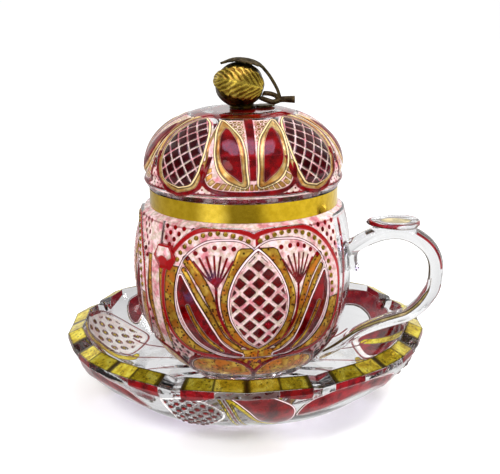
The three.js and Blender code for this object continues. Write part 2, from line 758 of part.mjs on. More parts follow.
function lidGeometry() {
  const angles = evenAngles(LID_COLUMNS_PER_SECTOR * LID_SECTORS, LID_TURN);
  const rings = [
    ringAt(angles, spigotRadius, -SPIGOT_DEPTH),
    ringAt(angles, spigotRadius, 0),
    ringAt(angles, LID_EDGE_RADIUS, 0),
    ringAt(angles, LID_RIM_RADIUS, LID_RIM_HEIGHT),
    ringAt(angles, LID_GROOVE_RADIUS, LID_GROOVE_HEIGHT),
  ];
  for (const share of [0, 0.18, 0.36, 0.54, 0.7, 0.83, 0.93]) {
    const height = lerp(DOME_SPRING_HEIGHT, LID_HEIGHT, share);
    rings.push(angles.map((angle) => around(angle, lobedRadius(angle, height), height)));
  }
  rings.push(ringAt(angles, LID_TOP_RADIUS, LID_HEIGHT));
  const dome = join(bodyFromRings(rings), ...lidPatches());
  const hole = rod(STUD_RADIUS + STUD_CLEARANCE, LID_HEIGHT - 2 * LID_CEILING, LID_HEIGHT + LID_CEILING);
  return cut(cut(dome, lidInside()), hole);
}

// Finial: a fruit with leaves and a twig, clamped through the lid by a stud, a washer and a nut.

const fruitCentre = new THREE.Vector3(FRUIT_OFFSET, 0, FRUIT_CENTRE_HEIGHT);

// A point on the fruit in a given direction, or a distance off its skin.
function fruitPoint(direction, off = 0) {
  return new THREE.Vector3(
    fruitCentre.x + direction.x * (FRUIT_RADIUS + off),
    fruitCentre.y + direction.y * (FRUIT_RADIUS + off),
    fruitCentre.z + direction.z * (FRUIT_HALF_HEIGHT + off),
  );
}

function fruitBody(off) {
  const rings = [];
  for (let row = 1; row < 12; row++) {
    const tilt = Math.PI * (row / 12 - 0.5);
    rings.push(evenAngles(20).map((angle) => fruitPoint(around(angle, Math.cos(tilt), Math.sin(tilt)), off)));
  }
  return bodyFromRings(rings);
}

function fruitGeometry() {
  const waist = FINIAL_FOOT_RADIUS * 0.75;
  const angles = evenAngles(20);
  const foot = bodyFromRings([
    ringAt(angles, FINIAL_FOOT_RADIUS, SEAT_GAP),
    ringAt(angles, FINIAL_FOOT_RADIUS, SEAT_GAP + FINIAL_FOOT_HEIGHT / 2),
    ringAt(angles, waist, SEAT_GAP + FINIAL_FOOT_HEIGHT),
    ringAt(angles, waist, FRUIT_CENTRE_HEIGHT / 2),
  ]);
  const bore = rod(STUD_RADIUS + STUD_CLEARANCE, -1, STUD_GRIP + STUD_CLEARANCE);
  return cut(join(fruitBody(0), foot), bore);
}

// A thin serrated blade. pointAt gives a point of the leaf for a share of its length, a place
// across it from -1 to 1 and a height over its lower face.
function leafGeometry(pointAt, stations = 15, across = 4) {
  const rings = [];
  for (let i = 0; i < stations; i++) {
    const share = lerp(0.02, 0.99, i / (stations - 1));
    const tooth = (share * LEAF_TEETH) % 1;
    const swell = Math.sin(Math.PI * share ** 0.75) ** 0.7;
    const spread = swell * (1 - LEAF_TOOTH_SHARE * tooth) + 0.04;
    const ring = [];
    for (let j = 0; j <= across; j++) {
      ring.push(pointAt(share, spread * ((2 * j) / across - 1), LEAF_THICKNESS));
    }
    for (let j = across; j >= 0; j--) {
      ring.push(pointAt(share, spread * ((2 * j) / across - 1), 0));
    }
    rings.push(ring);
  }
  return bodyFromRings(rings);
}

// The gilt leaf hugs the front of the fruit, from its base on the right to its tip on the left.
function frontLeafGeometry() {
  const frame = new THREE.Matrix4().makeRotationX(-degToRad(FRONT_LEAF_LIFT));
  frame.multiply(new THREE.Matrix4().makeRotationY(degToRad(FRONT_LEAF_TILT)));
  return leafGeometry((share, place, height) => {
    const along = degToRad(FRONT_LEAF_START + FRONT_LEAF_SPAN * share);
    const lift = degToRad(FRONT_LEAF_HALF_ANGLE * place);
    const direction = new THREE.Vector3(
      Math.cos(along) * Math.cos(lift),
      -Math.sin(along) * Math.cos(lift),
      Math.sin(lift),
    ).applyMatrix4(frame);
    return fruitPoint(direction, SEAT_GAP + height);
  });
}

// The curled leaf over the fruit, drooping at both sides, with its tip to the left.
function topLeafGeometry() {
  const top = FRUIT_CENTRE_HEIGHT + FRUIT_HALF_HEIGHT + TOP_LEAF_CLEARANCE;
  const rib = new THREE.CatmullRomCurve3([
    new THREE.Vector3(FRUIT_RADIUS * 0.84, 0, top - FRUIT_HALF_HEIGHT * 0.4),
    new THREE.Vector3(FRUIT_RADIUS * 0.62, 0, top - FRUIT_HALF_HEIGHT * 0.16),
    new THREE.Vector3(FRUIT_RADIUS * 0.22, 0, top),
    new THREE.Vector3(-FRUIT_RADIUS * 0.35, 0, top + 0.3),
    new THREE.Vector3(-FRUIT_RADIUS * 0.95, 0, top - FRUIT_HALF_HEIGHT * 0.2),
  ]);
  const blade = leafGeometry((share, place, height) => {
    const centre = rib.getPointAt(share);
    const tangent = rib.getTangentAt(share);
    const up = new THREE.Vector3(tangent.z, 0, -tangent.x);
    const droop = 0.22 * TOP_LEAF_HALF_WIDTH * place * place;
    const point = centre.addScaledVector(up, height - droop);
    point.y = TOP_LEAF_HALF_WIDTH * place;
    return point;
  });
  const leaf = join(blade, stalkGeometry(rib));
  return cut(cut(leaf, twigBody(SEAT_GAP)), fruitBody(SEAT_GAP));
}

function tubeGeometry(path, steps, sides, thicknessAt) {
  const rings = [];
  for (let i = 0; i <= steps; i++) {
    const share = i / steps;
    const centre = path.getPointAt(share);
    const tangent = path.getTangentAt(share);
    const normal = new THREE.Vector3(-tangent.z, 0, tangent.x);
    const radius = thicknessAt(share) / 2;
    rings.push(evenAngles(sides).map((angle) => {
      const turn = degToRad(angle);
      const point = centre.clone().addScaledVector(normal, radius * Math.cos(turn));
      point.y += radius * Math.sin(turn);
      return point;
    }));
  }
  return bodyFromRings(rings);
}

const forkRadius = TWIG_REACH * 0.72;

// The stalk runs from the curled leaf down to the fork of the twig.
function stalkGeometry(rib) {
  const start = rib.getPointAt(0.06);
  const end = new THREE.Vector3(forkRadius, 0, TWIG_END_HEIGHT + TWIG_THICKNESS / 4);
  const bow = new THREE.Vector3(0.06, 0, 0.05).multiplyScalar(start.distanceTo(end));
  const path = new THREE.CatmullRomCurve3([
    start,
    new THREE.Vector3().lerpVectors(start, end, 0.35).add(bow),
    new THREE.Vector3().lerpVectors(start, end, 0.75).add(bow),
    end,
  ]);
  return tubeGeometry(path, 8, 6, () => STALK_THICKNESS);
}

// The cut twig: two branches leave the fruit and join in one thick end, with an eye between them.
function twigBody(margin) {
  const root = new THREE.Vector3(FRUIT_OFFSET + FRUIT_RADIUS * 0.6, 0, FRUIT_CENTRE_HEIGHT * 0.56);
  const end = new THREE.Vector3(TWIG_REACH, 0, TWIG_END_HEIGHT);
  const fork = new THREE.Vector3(forkRadius, 0, TWIG_END_HEIGHT);
  const upper = new THREE.CatmullRomCurve3([
    root,
    new THREE.Vector3(lerp(root.x, fork.x, 0.45), 0, root.z + BRANCH_THICKNESS * 0.35),
    new THREE.Vector3(lerp(root.x, fork.x, 0.8), 0, root.z - BRANCH_THICKNESS * 0.1),
    fork,
  ]);
  const lower = new THREE.CatmullRomCurve3([
    root,
    new THREE.Vector3(lerp(root.x, fork.x, 0.4), 0, lerp(root.z, fork.z, 0.95)),
    new THREE.Vector3(lerp(root.x, fork.x, 0.75), 0, fork.z - BRANCH_THICKNESS * 0.5),
    fork,
    end,
  ]);
  const grown = 2 * margin;
  const upperBranch = tubeGeometry(upper, 8, 8, () => BRANCH_THICKNESS + grown);
  const lowerBranch = tubeGeometry(lower, 14, 8, (share) => (
    lerp(BRANCH_THICKNESS, TWIG_THICKNESS, share * share) + grown
  ));
  return join(lowerBranch, upperBranch);
}

function twigGeometry() {
  return cut(twigBody(0), fruitBody(SEAT_GAP));
}

// The chased leaf that lies on the lid beside the foot, under the twig.
function baseLeafGeometry() {
  const start = FINIAL_FOOT_RADIUS + SEAT_GAP;
  const geometry = leafGeometry((share, place, height) => new THREE.Vector3(
    start + BASE_LEAF_LENGTH * share,
    BASE_LEAF_HALF_WIDTH * place,
    SEAT_GAP + height,
  ), 12, 2);
  return geometry.rotateZ(degToRad(BASE_LEAF_TURN));
}

const washerTop = -LID_CEILING - SEAT_GAP;
const nutTop = washerTop - WASHER_THICKNESS - SEAT_GAP;

function washerGeometry() {
  const outline = new THREE.Shape().absarc(0, 0, WASHER_RADIUS, 0, Math.PI * 2);
  outline.holes.push(new THREE.Path().absarc(0, 0, STUD_RADIUS + STUD_CLEARANCE, 0, Math.PI * 2));
  const geometry = new THREE.ExtrudeGeometry(outline, {
    depth: WASHER_THICKNESS,
    curveSegments: ROUND_STEPS,
    bevelEnabled: false,
  });
  return geometry.translate(0, 0, washerTop - WASHER_THICKNESS);
}

function nutGeometry() {
  const bore = rod(STUD_RADIUS + STUD_CLEARANCE, nutTop - NUT_HEIGHT - 1, nutTop + 1);
  return cut(rod(NUT_RADIUS, nutTop - NUT_HEIGHT, nutTop, 6), bore);
}

function studGeometry() {
  return rod(STUD_RADIUS, nutTop - NUT_HEIGHT - STUD_TAIL, STUD_GRIP);
}

function material(color, roughness, metalness) {
  return new THREE.MeshStandardMaterial({ color, roughness, metalness });
}

function named(name, geometry, surface) {
  const mesh = new THREE.Mesh(geometry, surface);
  mesh.name = name;
  return mesh;
}

function finialGroup() {
  const group = new THREE.Group();
  group.add(
    named('finial_base_leaf', baseLeafGeometry(), material(0x3a2f1c, 0.55, 0.9)),
    named('finial_fruit', fruitGeometry(), material(0x6b5523, 0.4, 0.9)),
    named('finial_front_leaf', frontLeafGeometry(), material(0xc99a2e, 0.3, 1)),
    named('finial_top_leaf', topLeafGeometry(), material(0x6e6243, 0.5, 0.9)),
    named('finial_twig', twigGeometry(), material(0x584a24, 0.5, 0.9)),
    named('finial_stud', studGeometry(), material(0xa88b4a, 0.4, 1)),
    named('finial_washer', washerGeometry(), material(0xb89a55, 0.4, 1)),
    named('finial_nut', nutGeometry(), material(0xb89a55, 0.35, 1)),
  );
  group.position.z = finialBase;
  group.rotation.z = degToRad(FINIAL_TURN);
  return group;
}

function bowlGroup() {
  const group = new THREE.Group();
  group.add(
    named('bowl', bowlGeometry(), material(0xb0343a, 0.08, 0)),
    named('handle', handleGeometry(), material(0xe9eef0, 0.05, 0)),
  );
  group.position.z = bowlBase;
  return group;
}

function lidGroup() {
  const group = new THREE.Group();
  group.add(named('lid', lidGeometry(), material(0x9c2733, 0.08, 0)));
  group.position.z = lidBase;
  return group;
}

const coveredBowl = new THREE.Group();
coveredBowl.add(named('saucer', saucerGeometry(), material(0xd9b8b4, 0.08, 0)));
coveredBowl.add(bowlGroup(), lidGroup(), finialGroup());

export default coveredBowl;
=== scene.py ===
"""Looks of the covered cup on its stand: cut glass cased in ruby, gilded, with a bronze fruit on the lid."""

import math

import bpy
import numpy as np
from mathutils import Matrix, Vector


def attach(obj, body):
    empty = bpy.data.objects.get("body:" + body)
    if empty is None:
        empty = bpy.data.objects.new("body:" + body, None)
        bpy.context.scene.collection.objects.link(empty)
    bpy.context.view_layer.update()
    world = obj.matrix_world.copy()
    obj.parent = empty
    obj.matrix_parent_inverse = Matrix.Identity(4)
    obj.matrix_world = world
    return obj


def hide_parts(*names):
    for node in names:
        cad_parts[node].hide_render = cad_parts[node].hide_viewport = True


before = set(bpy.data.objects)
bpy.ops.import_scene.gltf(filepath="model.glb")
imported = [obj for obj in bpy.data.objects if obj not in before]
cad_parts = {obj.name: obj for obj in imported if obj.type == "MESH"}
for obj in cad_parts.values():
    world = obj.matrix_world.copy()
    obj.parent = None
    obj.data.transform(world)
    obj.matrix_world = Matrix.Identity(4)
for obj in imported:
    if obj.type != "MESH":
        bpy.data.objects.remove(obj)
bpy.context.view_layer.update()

# Sizes in millimetres. Angles in degrees from the front (-Y) towards the handle (+X).
MM = 0.001
BOWL_BASE = 12.0
LID_BASE = 100.3
FINIAL_BASE = 134.7
FINIAL_TURN = 10

# Dish
DISH_RADIUS = 85.0
DISH_HEIGHT = 34.5
DISH_TURN = -12.0
LOBE_ANGLE = 45.0
FACETS_PER_LOBE = 4
FACET_WIDTH = 7.0
FACET_DROP = 3.0
FACET_FRAME = 2.4
RIM_EDGE = 2.6
NOTCH_DEPTH = 3.0
NOTCH_DROP = 2.6
NOTCH_HALF_ANGLE = 3.4
NOTCH_SHARE = 0.35
CUSP_SHARE = 1 / 3
STAR_RAY = 360 / 20
STAR_DEPTH = 1.4
RAY_HALF_WIDTH = 0.6
WELL_FLOOR = 11.7

# Bowl
FOOT_RADIUS = 28.0
FOOT_HEIGHT = 3.5
FOOT_LOBE_DEPTH = 1.3
BARREL_CORE = 26.0
BARREL_RADIUS = 50.6
BARREL_HEIGHT = 49.0
LOWER_REACH = 46.11
UPPER_REACH = 54.7
SHOULDER_HEIGHT = 77.5
NECK_RADIUS = 43.8
PANEL_RISE = 1.1
SIDE_PANEL = 74.8
SIDE_HALF = 53.8
BACK_HALF = 43.0
PANELS = ((-SIDE_PANEL, SIDE_HALF, 1), (SIDE_PANEL, SIDE_HALF, -1), (180, BACK_HALF, 1))
PANEL_MARGIN = 4.3
INNER_SHIFT = 1.5

# Lid
LID_HEIGHT = 34.4
LID_CEILING = 29.4
TULIP_TURN = 13.5
PETAL_TURN = 2.0
LID_PERIOD = 90.0
LID_OVAL_TURN = 41.5
LID_LATTICE = 4.7
LID_SQUARE = 3.7
LID_LATTICE_TILT = 36.0

# How finely the glass is divided
BOWL_COLUMNS = 560
BARREL_ROWS = 140
LID_COLUMNS = 640
DOME_ROWS = 116
DISH_COLUMNS = 720
UNDER_ROWS = 58
WELL_ROWS = 44
SHARP_CUT = 38

# The value of a layer far outside its drawing.
OFF = 9.0


def linear(red, green, blue):
    """A colour of the screen, 0 to 255, as the linear colour of a material."""
    shares = np.array([red, green, blue]) / 255
    high = ((shares + 0.055) / 1.055) ** 2.4
    return (*np.where(shares < 0.04, shares / 12.92, high).tolist(), 1.0)


# Lines and regions on a flat drawing


def stroke(points, steps=6):
    """A smooth line through the points."""
    points = np.array(points, float)
    run = np.vstack([2 * points[0] - points[1], points, 2 * points[-1] - points[-2]])
    shares = (np.arange(steps) / steps)[:, None]
    line = []
    for a, b, c, d in zip(run, run[1:], run[2:], run[3:]):
        bend = 2 * a - 5 * b + 4 * c - d
        twist = 3 * b - 3 * c + d - a
        line.append(0.5 * (2 * b + (c - a) * shares + bend * shares**2 + twist * shares**3))
    return np.vstack([*line, points[-1:]])


def whole(half):
    """A closed outline from its right half, top to bottom."""
    return np.vstack([half, half[::-1] * (-1, 1)])


def steps_of(line, places):
    """Each step of a line, the share of it that is nearest to each place, and the gap to the place."""
    for start, end in zip(line, line[1:]):
        along = end - start
        share = np.clip((places - start) @ along / max(along @ along, 1e-9), 0, 1)
        yield along, share, places - start - share[:, None] * along


def line_distance(places, line):
    """Shortest distance from each place to a line."""
    return np.minimum.reduce([np.hypot(*gap.T) for _, _, gap in steps_of(line, places)])


def line_place(places, line):
    """Offset of each place to the left of a line, and its share of the way along."""
    best = np.full(len(places), np.inf)
    offset, way = np.zeros((2, len(places)))
    for index, (along, share, gap) in enumerate(steps_of(line, places)):
        distance = np.hypot(*gap.T)
        side = np.sign(along[0] * gap[:, 1] - along[1] * gap[:, 0])
        closer = distance < best
        best = np.where(closer, distance, best)
        offset = np.where(closer, side * distance, offset)
        way = np.where(closer, (index + share) / (len(line) - 1), way)
    return offset, way


def region(places, outline):
    """Signed distance to a closed outline, negative inside."""
    outline = np.vstack([outline, outline[:1]])
    inside = np.zeros(len(places), bool)
    for start, end in zip(outline, outline[1:]):
        if start[1] != end[1]:
            spans = (start[1] > places[:, 1]) != (end[1] > places[:, 1])
            crossing = start[0] + (places[:, 1] - start[1]) * (end[0] - start[0]) / (end[1] - start[1])
            inside ^= spans & (places[:, 0] < crossing)
    distance = line_distance(places, outline)
    return np.where(inside, -distance, distance)


def both(*distances):
    """Signed distance to what lies inside all of the regions."""
    return np.maximum.reduce(distances)


def either(*distances):
    """Signed distance to what lies inside any of the regions."""
    return np.minimum.reduce(distances)


def band(distance, half_width):
    """Signed distance to a band along the line where the distance is 0."""
    return np.abs(distance) - half_width


def step(distance, soft=0.5):
    """1 inside, 0 outside, with a smooth edge."""
    share = np.clip(0.5 - distance / (2 * soft), 0, 1)
    return share * share * (3 - 2 * share)


def groove(distance, half_width, depth):
    """A cut with sloping sides along the line where the distance is 0."""
    return -depth * np.clip(1 - np.abs(distance) / half_width, 0, 1)


def pillow(distance, reach):
    """A rounded rise inside an outline, 1 from this reach inwards."""
    return np.sqrt(np.clip(-distance / reach, 0, 1))


def from_whole(values):
    """How far each value is from a whole number."""
    return np.abs(values - np.round(values))


def lattice_cells(x, y, width, row=0.0):
    """Distance from the nearest centre of a diagonal lattice, in shares of a cell along each direction."""
    row = row or width
    return from_whole(x / width + y / row), from_whole(x / width - y / row)


def wrap(angles, period=360.0):
    """Angles brought between minus and plus half a period."""
    return (angles + period / 2) % period - period / 2


def unit(vectors):
    """Vectors of the same directions with a length of 1."""
    return vectors / np.linalg.norm(vectors, axis=-1, keepdims=True)


class Path:
    """A line by the distance along it, such as the meridian of a turned body by radius and height."""

    def __init__(self, places):
        self.across, self.up = np.array(places, float).T
        lengths = np.hypot(np.diff(self.across), np.diff(self.up))
        self.along = np.concatenate([[0], np.cumsum(lengths)])
        self.length = self.along[-1]

    def at(self, along):
        return np.array([np.interp(along, self.along, self.across), np.interp(along, self.along, self.up)])

    def outward(self, along, reach=0.4):
        """The direction square to the line, to the right of its way."""
        ahead = self.at(along + reach)
        back = self.at(along - reach)
        return unit(np.stack([ahead[1] - back[1], back[0] - ahead[0]], -1))

    def raised(self, along, rise):
        """Radius and height of places that stand out from the line."""
        radius, height = self.at(along)
        out = self.outward(along)
        return radius + rise * out[0], height + rise * out[1]


# Meshes


def new_object(name, data):
    piece = bpy.data.objects.new(name, data)
    bpy.context.scene.collection.objects.link(piece)
    return piece


def add_piece(name, mesh, material, body, node=None):
    """A visible piece that rides on a body and, with a node, takes the place of that part of the CAD."""
    piece = new_object(name, mesh)
    mesh.materials.append(material)
    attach(piece, body)
    if node:
        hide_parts(node)


def finish_mesh(mesh, layers):
    """Gives a mesh its layers, as values of its points, and smooth shading."""
    for layer, values in layers.items():
        attribute = mesh.attributes.new(layer, "FLOAT", "POINT")
        attribute.data.foreach_set("value", values.astype(np.float32))
    mesh.polygons.foreach_set("use_smooth", np.ones(len(mesh.polygons), bool))
    mesh.update()


def volume(points, faces):
    """Six times the signed volume inside the faces."""
    triangles = [face[:3] for face in faces] + [[face[0], *face[2:]] for face in faces if len(face) == 4]
    a, b, c = points[np.array(triangles)].transpose(1, 0, 2)
    return np.einsum("ij,ij->", a, np.cross(b, c))


def make_mesh(name, points, faces, layers=None, sharp_angle=None):
    """A closed mesh with its faces turned outwards."""
    if volume(points, faces) < 0:
        faces = [face[::-1] for face in faces]
    mesh = bpy.data.meshes.new(name)
    mesh.from_pydata((points * MM).tolist(), [], faces)
    finish_mesh(mesh, layers or {})
    if sharp_angle:
        mesh.set_sharp_from_angle(angle=math.radians(sharp_angle))
    return mesh


def ring_faces(rows, columns, closes_on_itself=False):
    """Faces between rings of points, and fans round a hub for the first ring and one for the last."""
    low = np.arange(rows if closes_on_itself else rows - 1)[:, None] * columns
    high = (low + columns) % (rows * columns)
    here = np.arange(columns)
    after = (here + 1) % columns
    faces = np.stack([low + here, low + after, high + after, high + here], -1).reshape(-1, 4).tolist()
    if not closes_on_itself:
        hub = rows * columns
        last = hub - columns
        for column, following in zip(here.tolist(), after.tolist()):
            faces.append([hub, following, column])
            faces.append([hub + 1, last + column, last + following])
    return faces


def ring_body(name, rings, layers=None, closes_on_itself=False, sharp_angle=None):
    """One closed body from rings of equally many points, each layer with a value for each point."""
    rings = np.array(rings)
    points = rings.reshape(-1, 3)
    layers = {layer: np.array(values).reshape(-1) for layer, values in (layers or {}).items()}
    if not closes_on_itself:
        points = np.vstack([points, rings[0].mean(0), rings[-1].mean(0)])
        layers = {layer: np.append(values, values[[0, -1]]) for layer, values in layers.items()}
    faces = ring_faces(*rings.shape[:2], closes_on_itself)
    return make_mesh(name, points, faces, layers, sharp_angle)


def around(angles, radii, heights):
    """Points at angles round the Z axis."""
    turn = np.radians(angles)
    return np.stack(np.broadcast_arrays(radii * np.sin(turn), -radii * np.cos(turn), heights), -1)


class Rings:
    """Rings of points gathered one by one above a base, each with the values of its layers."""

    def __init__(self, angles, layers, base=0.0):
        self.angles = angles
        self.base = base
        self.rings = []
        self.layers = {layer: [] for layer in layers}

    def add(self, ring, **found):
        self.rings.append(ring)
        for layer, store in self.layers.items():
            store.append(np.broadcast_to(found.get(layer, OFF), self.angles.shape))

    def turn(self, radius, height, **found):
        self.add(around(self.angles, radius, self.base + height), **found)

    def turn_all(self, places):
        for radius, height in places:
            self.turn(radius, height)

    def body(self, name, **settings):
        return ring_body(name, self.rings, self.layers, **settings)


# Materials


def set_inputs(tree, node, inputs):
    """Joins inputs to sockets, and sets those that are given as values."""
    for key, value in inputs.items():
        if isinstance(value, bpy.types.NodeSocket):
            tree.links.new(value, node.inputs[key])
        else:
            node.inputs[key].default_value = value


def add_node(tree, kind, inputs=None, **settings):
    node = tree.nodes.new(kind)
    for key, value in settings.items():
        setattr(node, key, value)
    set_inputs(tree, node, inputs or {})
    return node


def mix(tree, share, low, high):
    return add_node(tree, "ShaderNodeMix", {0: share, 6: low, 7: high}, data_type="RGBA").outputs[2]


def mix_value(tree, share, low, high):
    return add_node(tree, "ShaderNodeMix", {0: share, 2: low, 3: high}, data_type="FLOAT").outputs[0]


def ramp(tree, value, low, high, start=0.0, end=1.0):
    inputs = {"Value": value, "From Min": low, "From Max": high, "To Min": start, "To Max": end}
    return add_node(tree, "ShaderNodeMapRange", inputs).outputs[0]


def math_node(tree, operation, first, second=0.0):
    return add_node(tree, "ShaderNodeMath", {0: first, 1: second}, operation=operation).outputs[0]


def times(tree, first, second):
    return math_node(tree, "MULTIPLY", first, second)


def minus(tree, first, second):
    return math_node(tree, "SUBTRACT", first, second)


def dot_product(tree, vector, direction):
    inputs = {0: vector, 1: tuple(direction)}
    return add_node(tree, "ShaderNodeVectorMath", inputs, operation="DOT_PRODUCT").outputs["Value"]


def texture(tree, kind, output, scale, **settings):
    """A texture in the object's own millimetres."""
    place = add_node(tree, "ShaderNodeTexCoord").outputs["Object"]
    return add_node(tree, kind, {"Vector": place, "Scale": scale / MM, **settings}).outputs[output]


def noise(tree, scale, detail=3.0):
    """Soft noise with features of about 1/scale of a millimetre."""
    return texture(tree, "ShaderNodeTexNoise", "Fac", scale, Detail=detail)


def bump(tree, height, strength, distance):
    inputs = {"Height": height, "Strength": strength, "Distance": distance * MM}
    return add_node(tree, "ShaderNodeBump", inputs).outputs[0]


def layer_value(tree, layer):
    return add_node(tree, "ShaderNodeAttribute", attribute_name=layer).outputs["Fac"]


def inside_mask(tree, layer, edge=0.14):
    """1 where the layer's distance is negative."""
    return ramp(tree, layer_value(tree, layer), -edge, edge, 1.0, 0.0)


def line_mask(tree, distance, reach, end, top=1.0):
    """The share top where the distance is within reach of 0, which falls to none at the end."""
    return ramp(tree, math_node(tree, "ABSOLUTE", distance), reach, end, top, 0.0)


def new_material(name):
    material = bpy.data.materials.new(name)
    material.use_nodes = True
    tree = material.node_tree
    tree.nodes.clear()
    shader = add_node(tree, "ShaderNodeBsdfPrincipled")
    add_node(tree, "ShaderNodeOutputMaterial", {"Surface": shader.outputs[0]})
    return material, tree, shader


RUBY_DEEP = (0.07, 0.0002, 0.0008, 1.0)
RUBY_BRIGHT = (0.27, 0.0004, 0.0016, 1.0)
RUBY_LINE = linear(186, 18, 22)
RUBY_NIGHT = (0.012, 0.0001, 0.0008, 1.0)
PANEL_GOLD = (linear(204, 118, 38), linear(170, 114, 36), linear(214, 172, 66))
RIM_GOLD = (linear(196, 168, 30), linear(230, 204, 44), linear(252, 236, 92))
LID_GOLD = (linear(206, 140, 66), linear(226, 176, 100), linear(246, 212, 140))
OLIVE_GOLD = (linear(146, 134, 84), linear(168, 152, 96), linear(204, 184, 130))
STIPPLE_DARK = linear(48, 24, 10)
# Whites of the bowl and lid: cream, pinkish white, and a rose tone laid in patches that is a painted
# reflection of the red casing in the glass.
PANEL_WHITE_AND_PINK_REFLECTION = (linear(242, 220, 200), linear(246, 210, 214), linear(212, 128, 138))
DISH_WHITE = (linear(255, 252, 246), linear(255, 255, 255), linear(244, 230, 226))
THREAD_WHITE = linear(246, 214, 218)
THREAD_GOLD = linear(236, 208, 156)
CLEAR = (0.98, 0.985, 0.99, 1.0)
GLASS_IOR = 1.5
GLASS_ROUGH = 0.02
WHITE_ROUGH = 0.14
GOLD_ROUGH = 0.24
RUBY_DENSITY = 0.55
CLOUD_SCALE = 0.22
PATCH_SCALE = 0.2
STREAK_SCALE = 0.5
SPECK_SCALE = 0.55
SPECK_RANGE = (0.22, 0.34, 1.0, 0.0)
THREAD_RANGE = (0.55, 0.72)
THREAD_CORE = (0.22, 0.4)
OUTLINE_RANGE = (0.1, 0.34, 0.8)
METAL_CLOUD_SCALE = 0.35
GRAIN_SCALE = 2.2


def cased_glass(name, gold_tones, white_tones, threads=(), outlines=(), **changes):
    """Clear glass with the ruby, gold and white layers of its mesh, white threads and dark outlines."""
    look = {"night": 0.0, "stipple": 0.9, "gold_edges": 0.85, "metal": 0.7, "gloss": 0.5}
    look |= {"milk_range": (0.5, 0.8), "thread_tone": THREAD_WHITE, **changes}
    material, tree, shader = new_material(name)
    ruby, gold, white = (inside_mask(tree, layer) for layer in ("ruby", "gold", "white"))
    cloud = noise(tree, CLOUD_SCALE)
    streak = noise(tree, STREAK_SCALE)
    speck_distance = texture(tree, "ShaderNodeTexVoronoi", "Distance", SPECK_SCALE)
    specks = ramp(tree, speck_distance, *SPECK_RANGE)

    gold_tone = mix(tree, ramp(tree, cloud, 0.38, 0.5), *gold_tones[:2])
    gold_tone = mix(tree, ramp(tree, cloud, 0.5, 0.62), gold_tone, gold_tones[2])
    gold_tone = mix(tree, times(tree, specks, look["stipple"]), gold_tone, STIPPLE_DARK)
    just_inside = math_node(tree, "ADD", layer_value(tree, "gold"), 0.2)
    gold_edge = line_mask(tree, just_inside, 0.2, 0.42, look["gold_edges"])
    gold_tone = mix(tree, gold_edge, gold_tone, STIPPLE_DARK)
    white_tone = mix(tree, ramp(tree, streak, 0.4, 0.6), *white_tones[:2])
    # Patches of the third white tone; where it is rose, it paints the red casing reflected in and seen
    # through the glass.
    white_tone = mix(tree, ramp(tree, noise(tree, PATCH_SCALE), 0.46, 0.64), white_tone, white_tones[2])
    ruby_tone = mix(tree, ramp(tree, cloud, 0.36, 0.64), RUBY_DEEP, RUBY_BRIGHT)
    if "arc" in threads:
        outside_arc = ramp(tree, layer_value(tree, "arc"), 0.4, 1.2, 0.0, 0.75)
        ruby_tone = mix(tree, outside_arc, ruby_tone, RUBY_LINE)
    colour = mix(tree, white, CLEAR, white_tone)
    colour = mix(tree, gold, colour, gold_tone)
    colour = mix(tree, ruby, colour, ruby_tone)

    not_ruby = minus(tree, 1.0, ruby)
    gold_shown = times(tree, gold, not_ruby)
    not_gold = minus(tree, 1.0, gold_shown)
    white_shown = times(tree, times(tree, white, not_gold), not_ruby)
    milk = times(tree, white_shown, ramp(tree, streak, 0.42, 0.58, *look["milk_range"]))
    passing = minus(tree, minus(tree, not_gold, milk), times(tree, ruby, RUBY_DENSITY))
    for thread in threads:
        place = layer_value(tree, thread)
        shown = line_mask(tree, place, *THREAD_RANGE)
        tone = mix(tree, line_mask(tree, place, *THREAD_CORE), STIPPLE_DARK, look["thread_tone"])
        colour = mix(tree, shown, colour, tone)
        passing = times(tree, passing, ramp(tree, shown, 0.0, 1.0, 1.0, 0.3))
    if look["night"]:
        in_square = times(tree, inside_mask(tree, "square"), look["night"])
        colour = mix(tree, in_square, colour, RUBY_NIGHT)
    for outline in outlines:
        dark_line = line_mask(tree, layer_value(tree, outline), *OUTLINE_RANGE)
        colour = mix(tree, dark_line, colour, STIPPLE_DARK)
    rough = mix_value(tree, white_shown, GLASS_ROUGH, WHITE_ROUGH)
    inputs = {
        "Base Color": colour,
        "Transmission Weight": passing,
        "Roughness": mix_value(tree, gold_shown, rough, GOLD_ROUGH),
        "Metallic": times(tree, gold_shown, look["metal"]),
        "IOR": GLASS_IOR,
        "Specular IOR Level": look["gloss"],
        "Normal": bump(tree, streak, 0.16, 0.2),
    }
    set_inputs(tree, shader, inputs)
    return material


def bronze(name, dark, bright, rough, metal=0.9, bump_strength=0.3, veined=False):
    """Cast metal with darker hollows and fine scratches, bright on the veins of a leaf."""
    material, tree, shader = new_material(name)
    grain = noise(tree, GRAIN_SCALE, 5.0)
    share = ramp(tree, noise(tree, METAL_CLOUD_SCALE), 0.36, 0.62)
    if veined:
        on_vein = ramp(tree, layer_value(tree, "vein"), 0.1, 0.9, 0.0, 0.75)
        share = math_node(tree, "ADD", times(tree, share, 0.25), on_vein)
    inputs = {
        "Base Color": mix(tree, ramp(tree, grain, 0.3, 0.8, 0.5, 0.0), mix(tree, share, dark, bright), dark),
        "Roughness": ramp(tree, grain, 0.3, 0.7, rough * 0.75, rough * 1.25),
        "Metallic": metal,
        "Normal": bump(tree, grain, bump_strength, 0.15),
    }
    set_inputs(tree, shader, inputs)
    return material


# Bowl: the profile of its outside, and the cut and painted panels.


def barrel_radius(height):
    """Radius of the barrel, two quarter ellipses that meet at its widest height."""
    reach = np.where(height < BARREL_HEIGHT, LOWER_REACH, UPPER_REACH)
    share = (height - BARREL_HEIGHT) / reach
    return BARREL_CORE + (BARREL_RADIUS - BARREL_CORE) * np.sqrt(np.maximum(0, 1 - share * share))


barrel_heights = np.linspace(FOOT_HEIGHT, SHOULDER_HEIGHT, 800)
barrel = Path(np.stack([barrel_radius(barrel_heights), barrel_heights], 1))

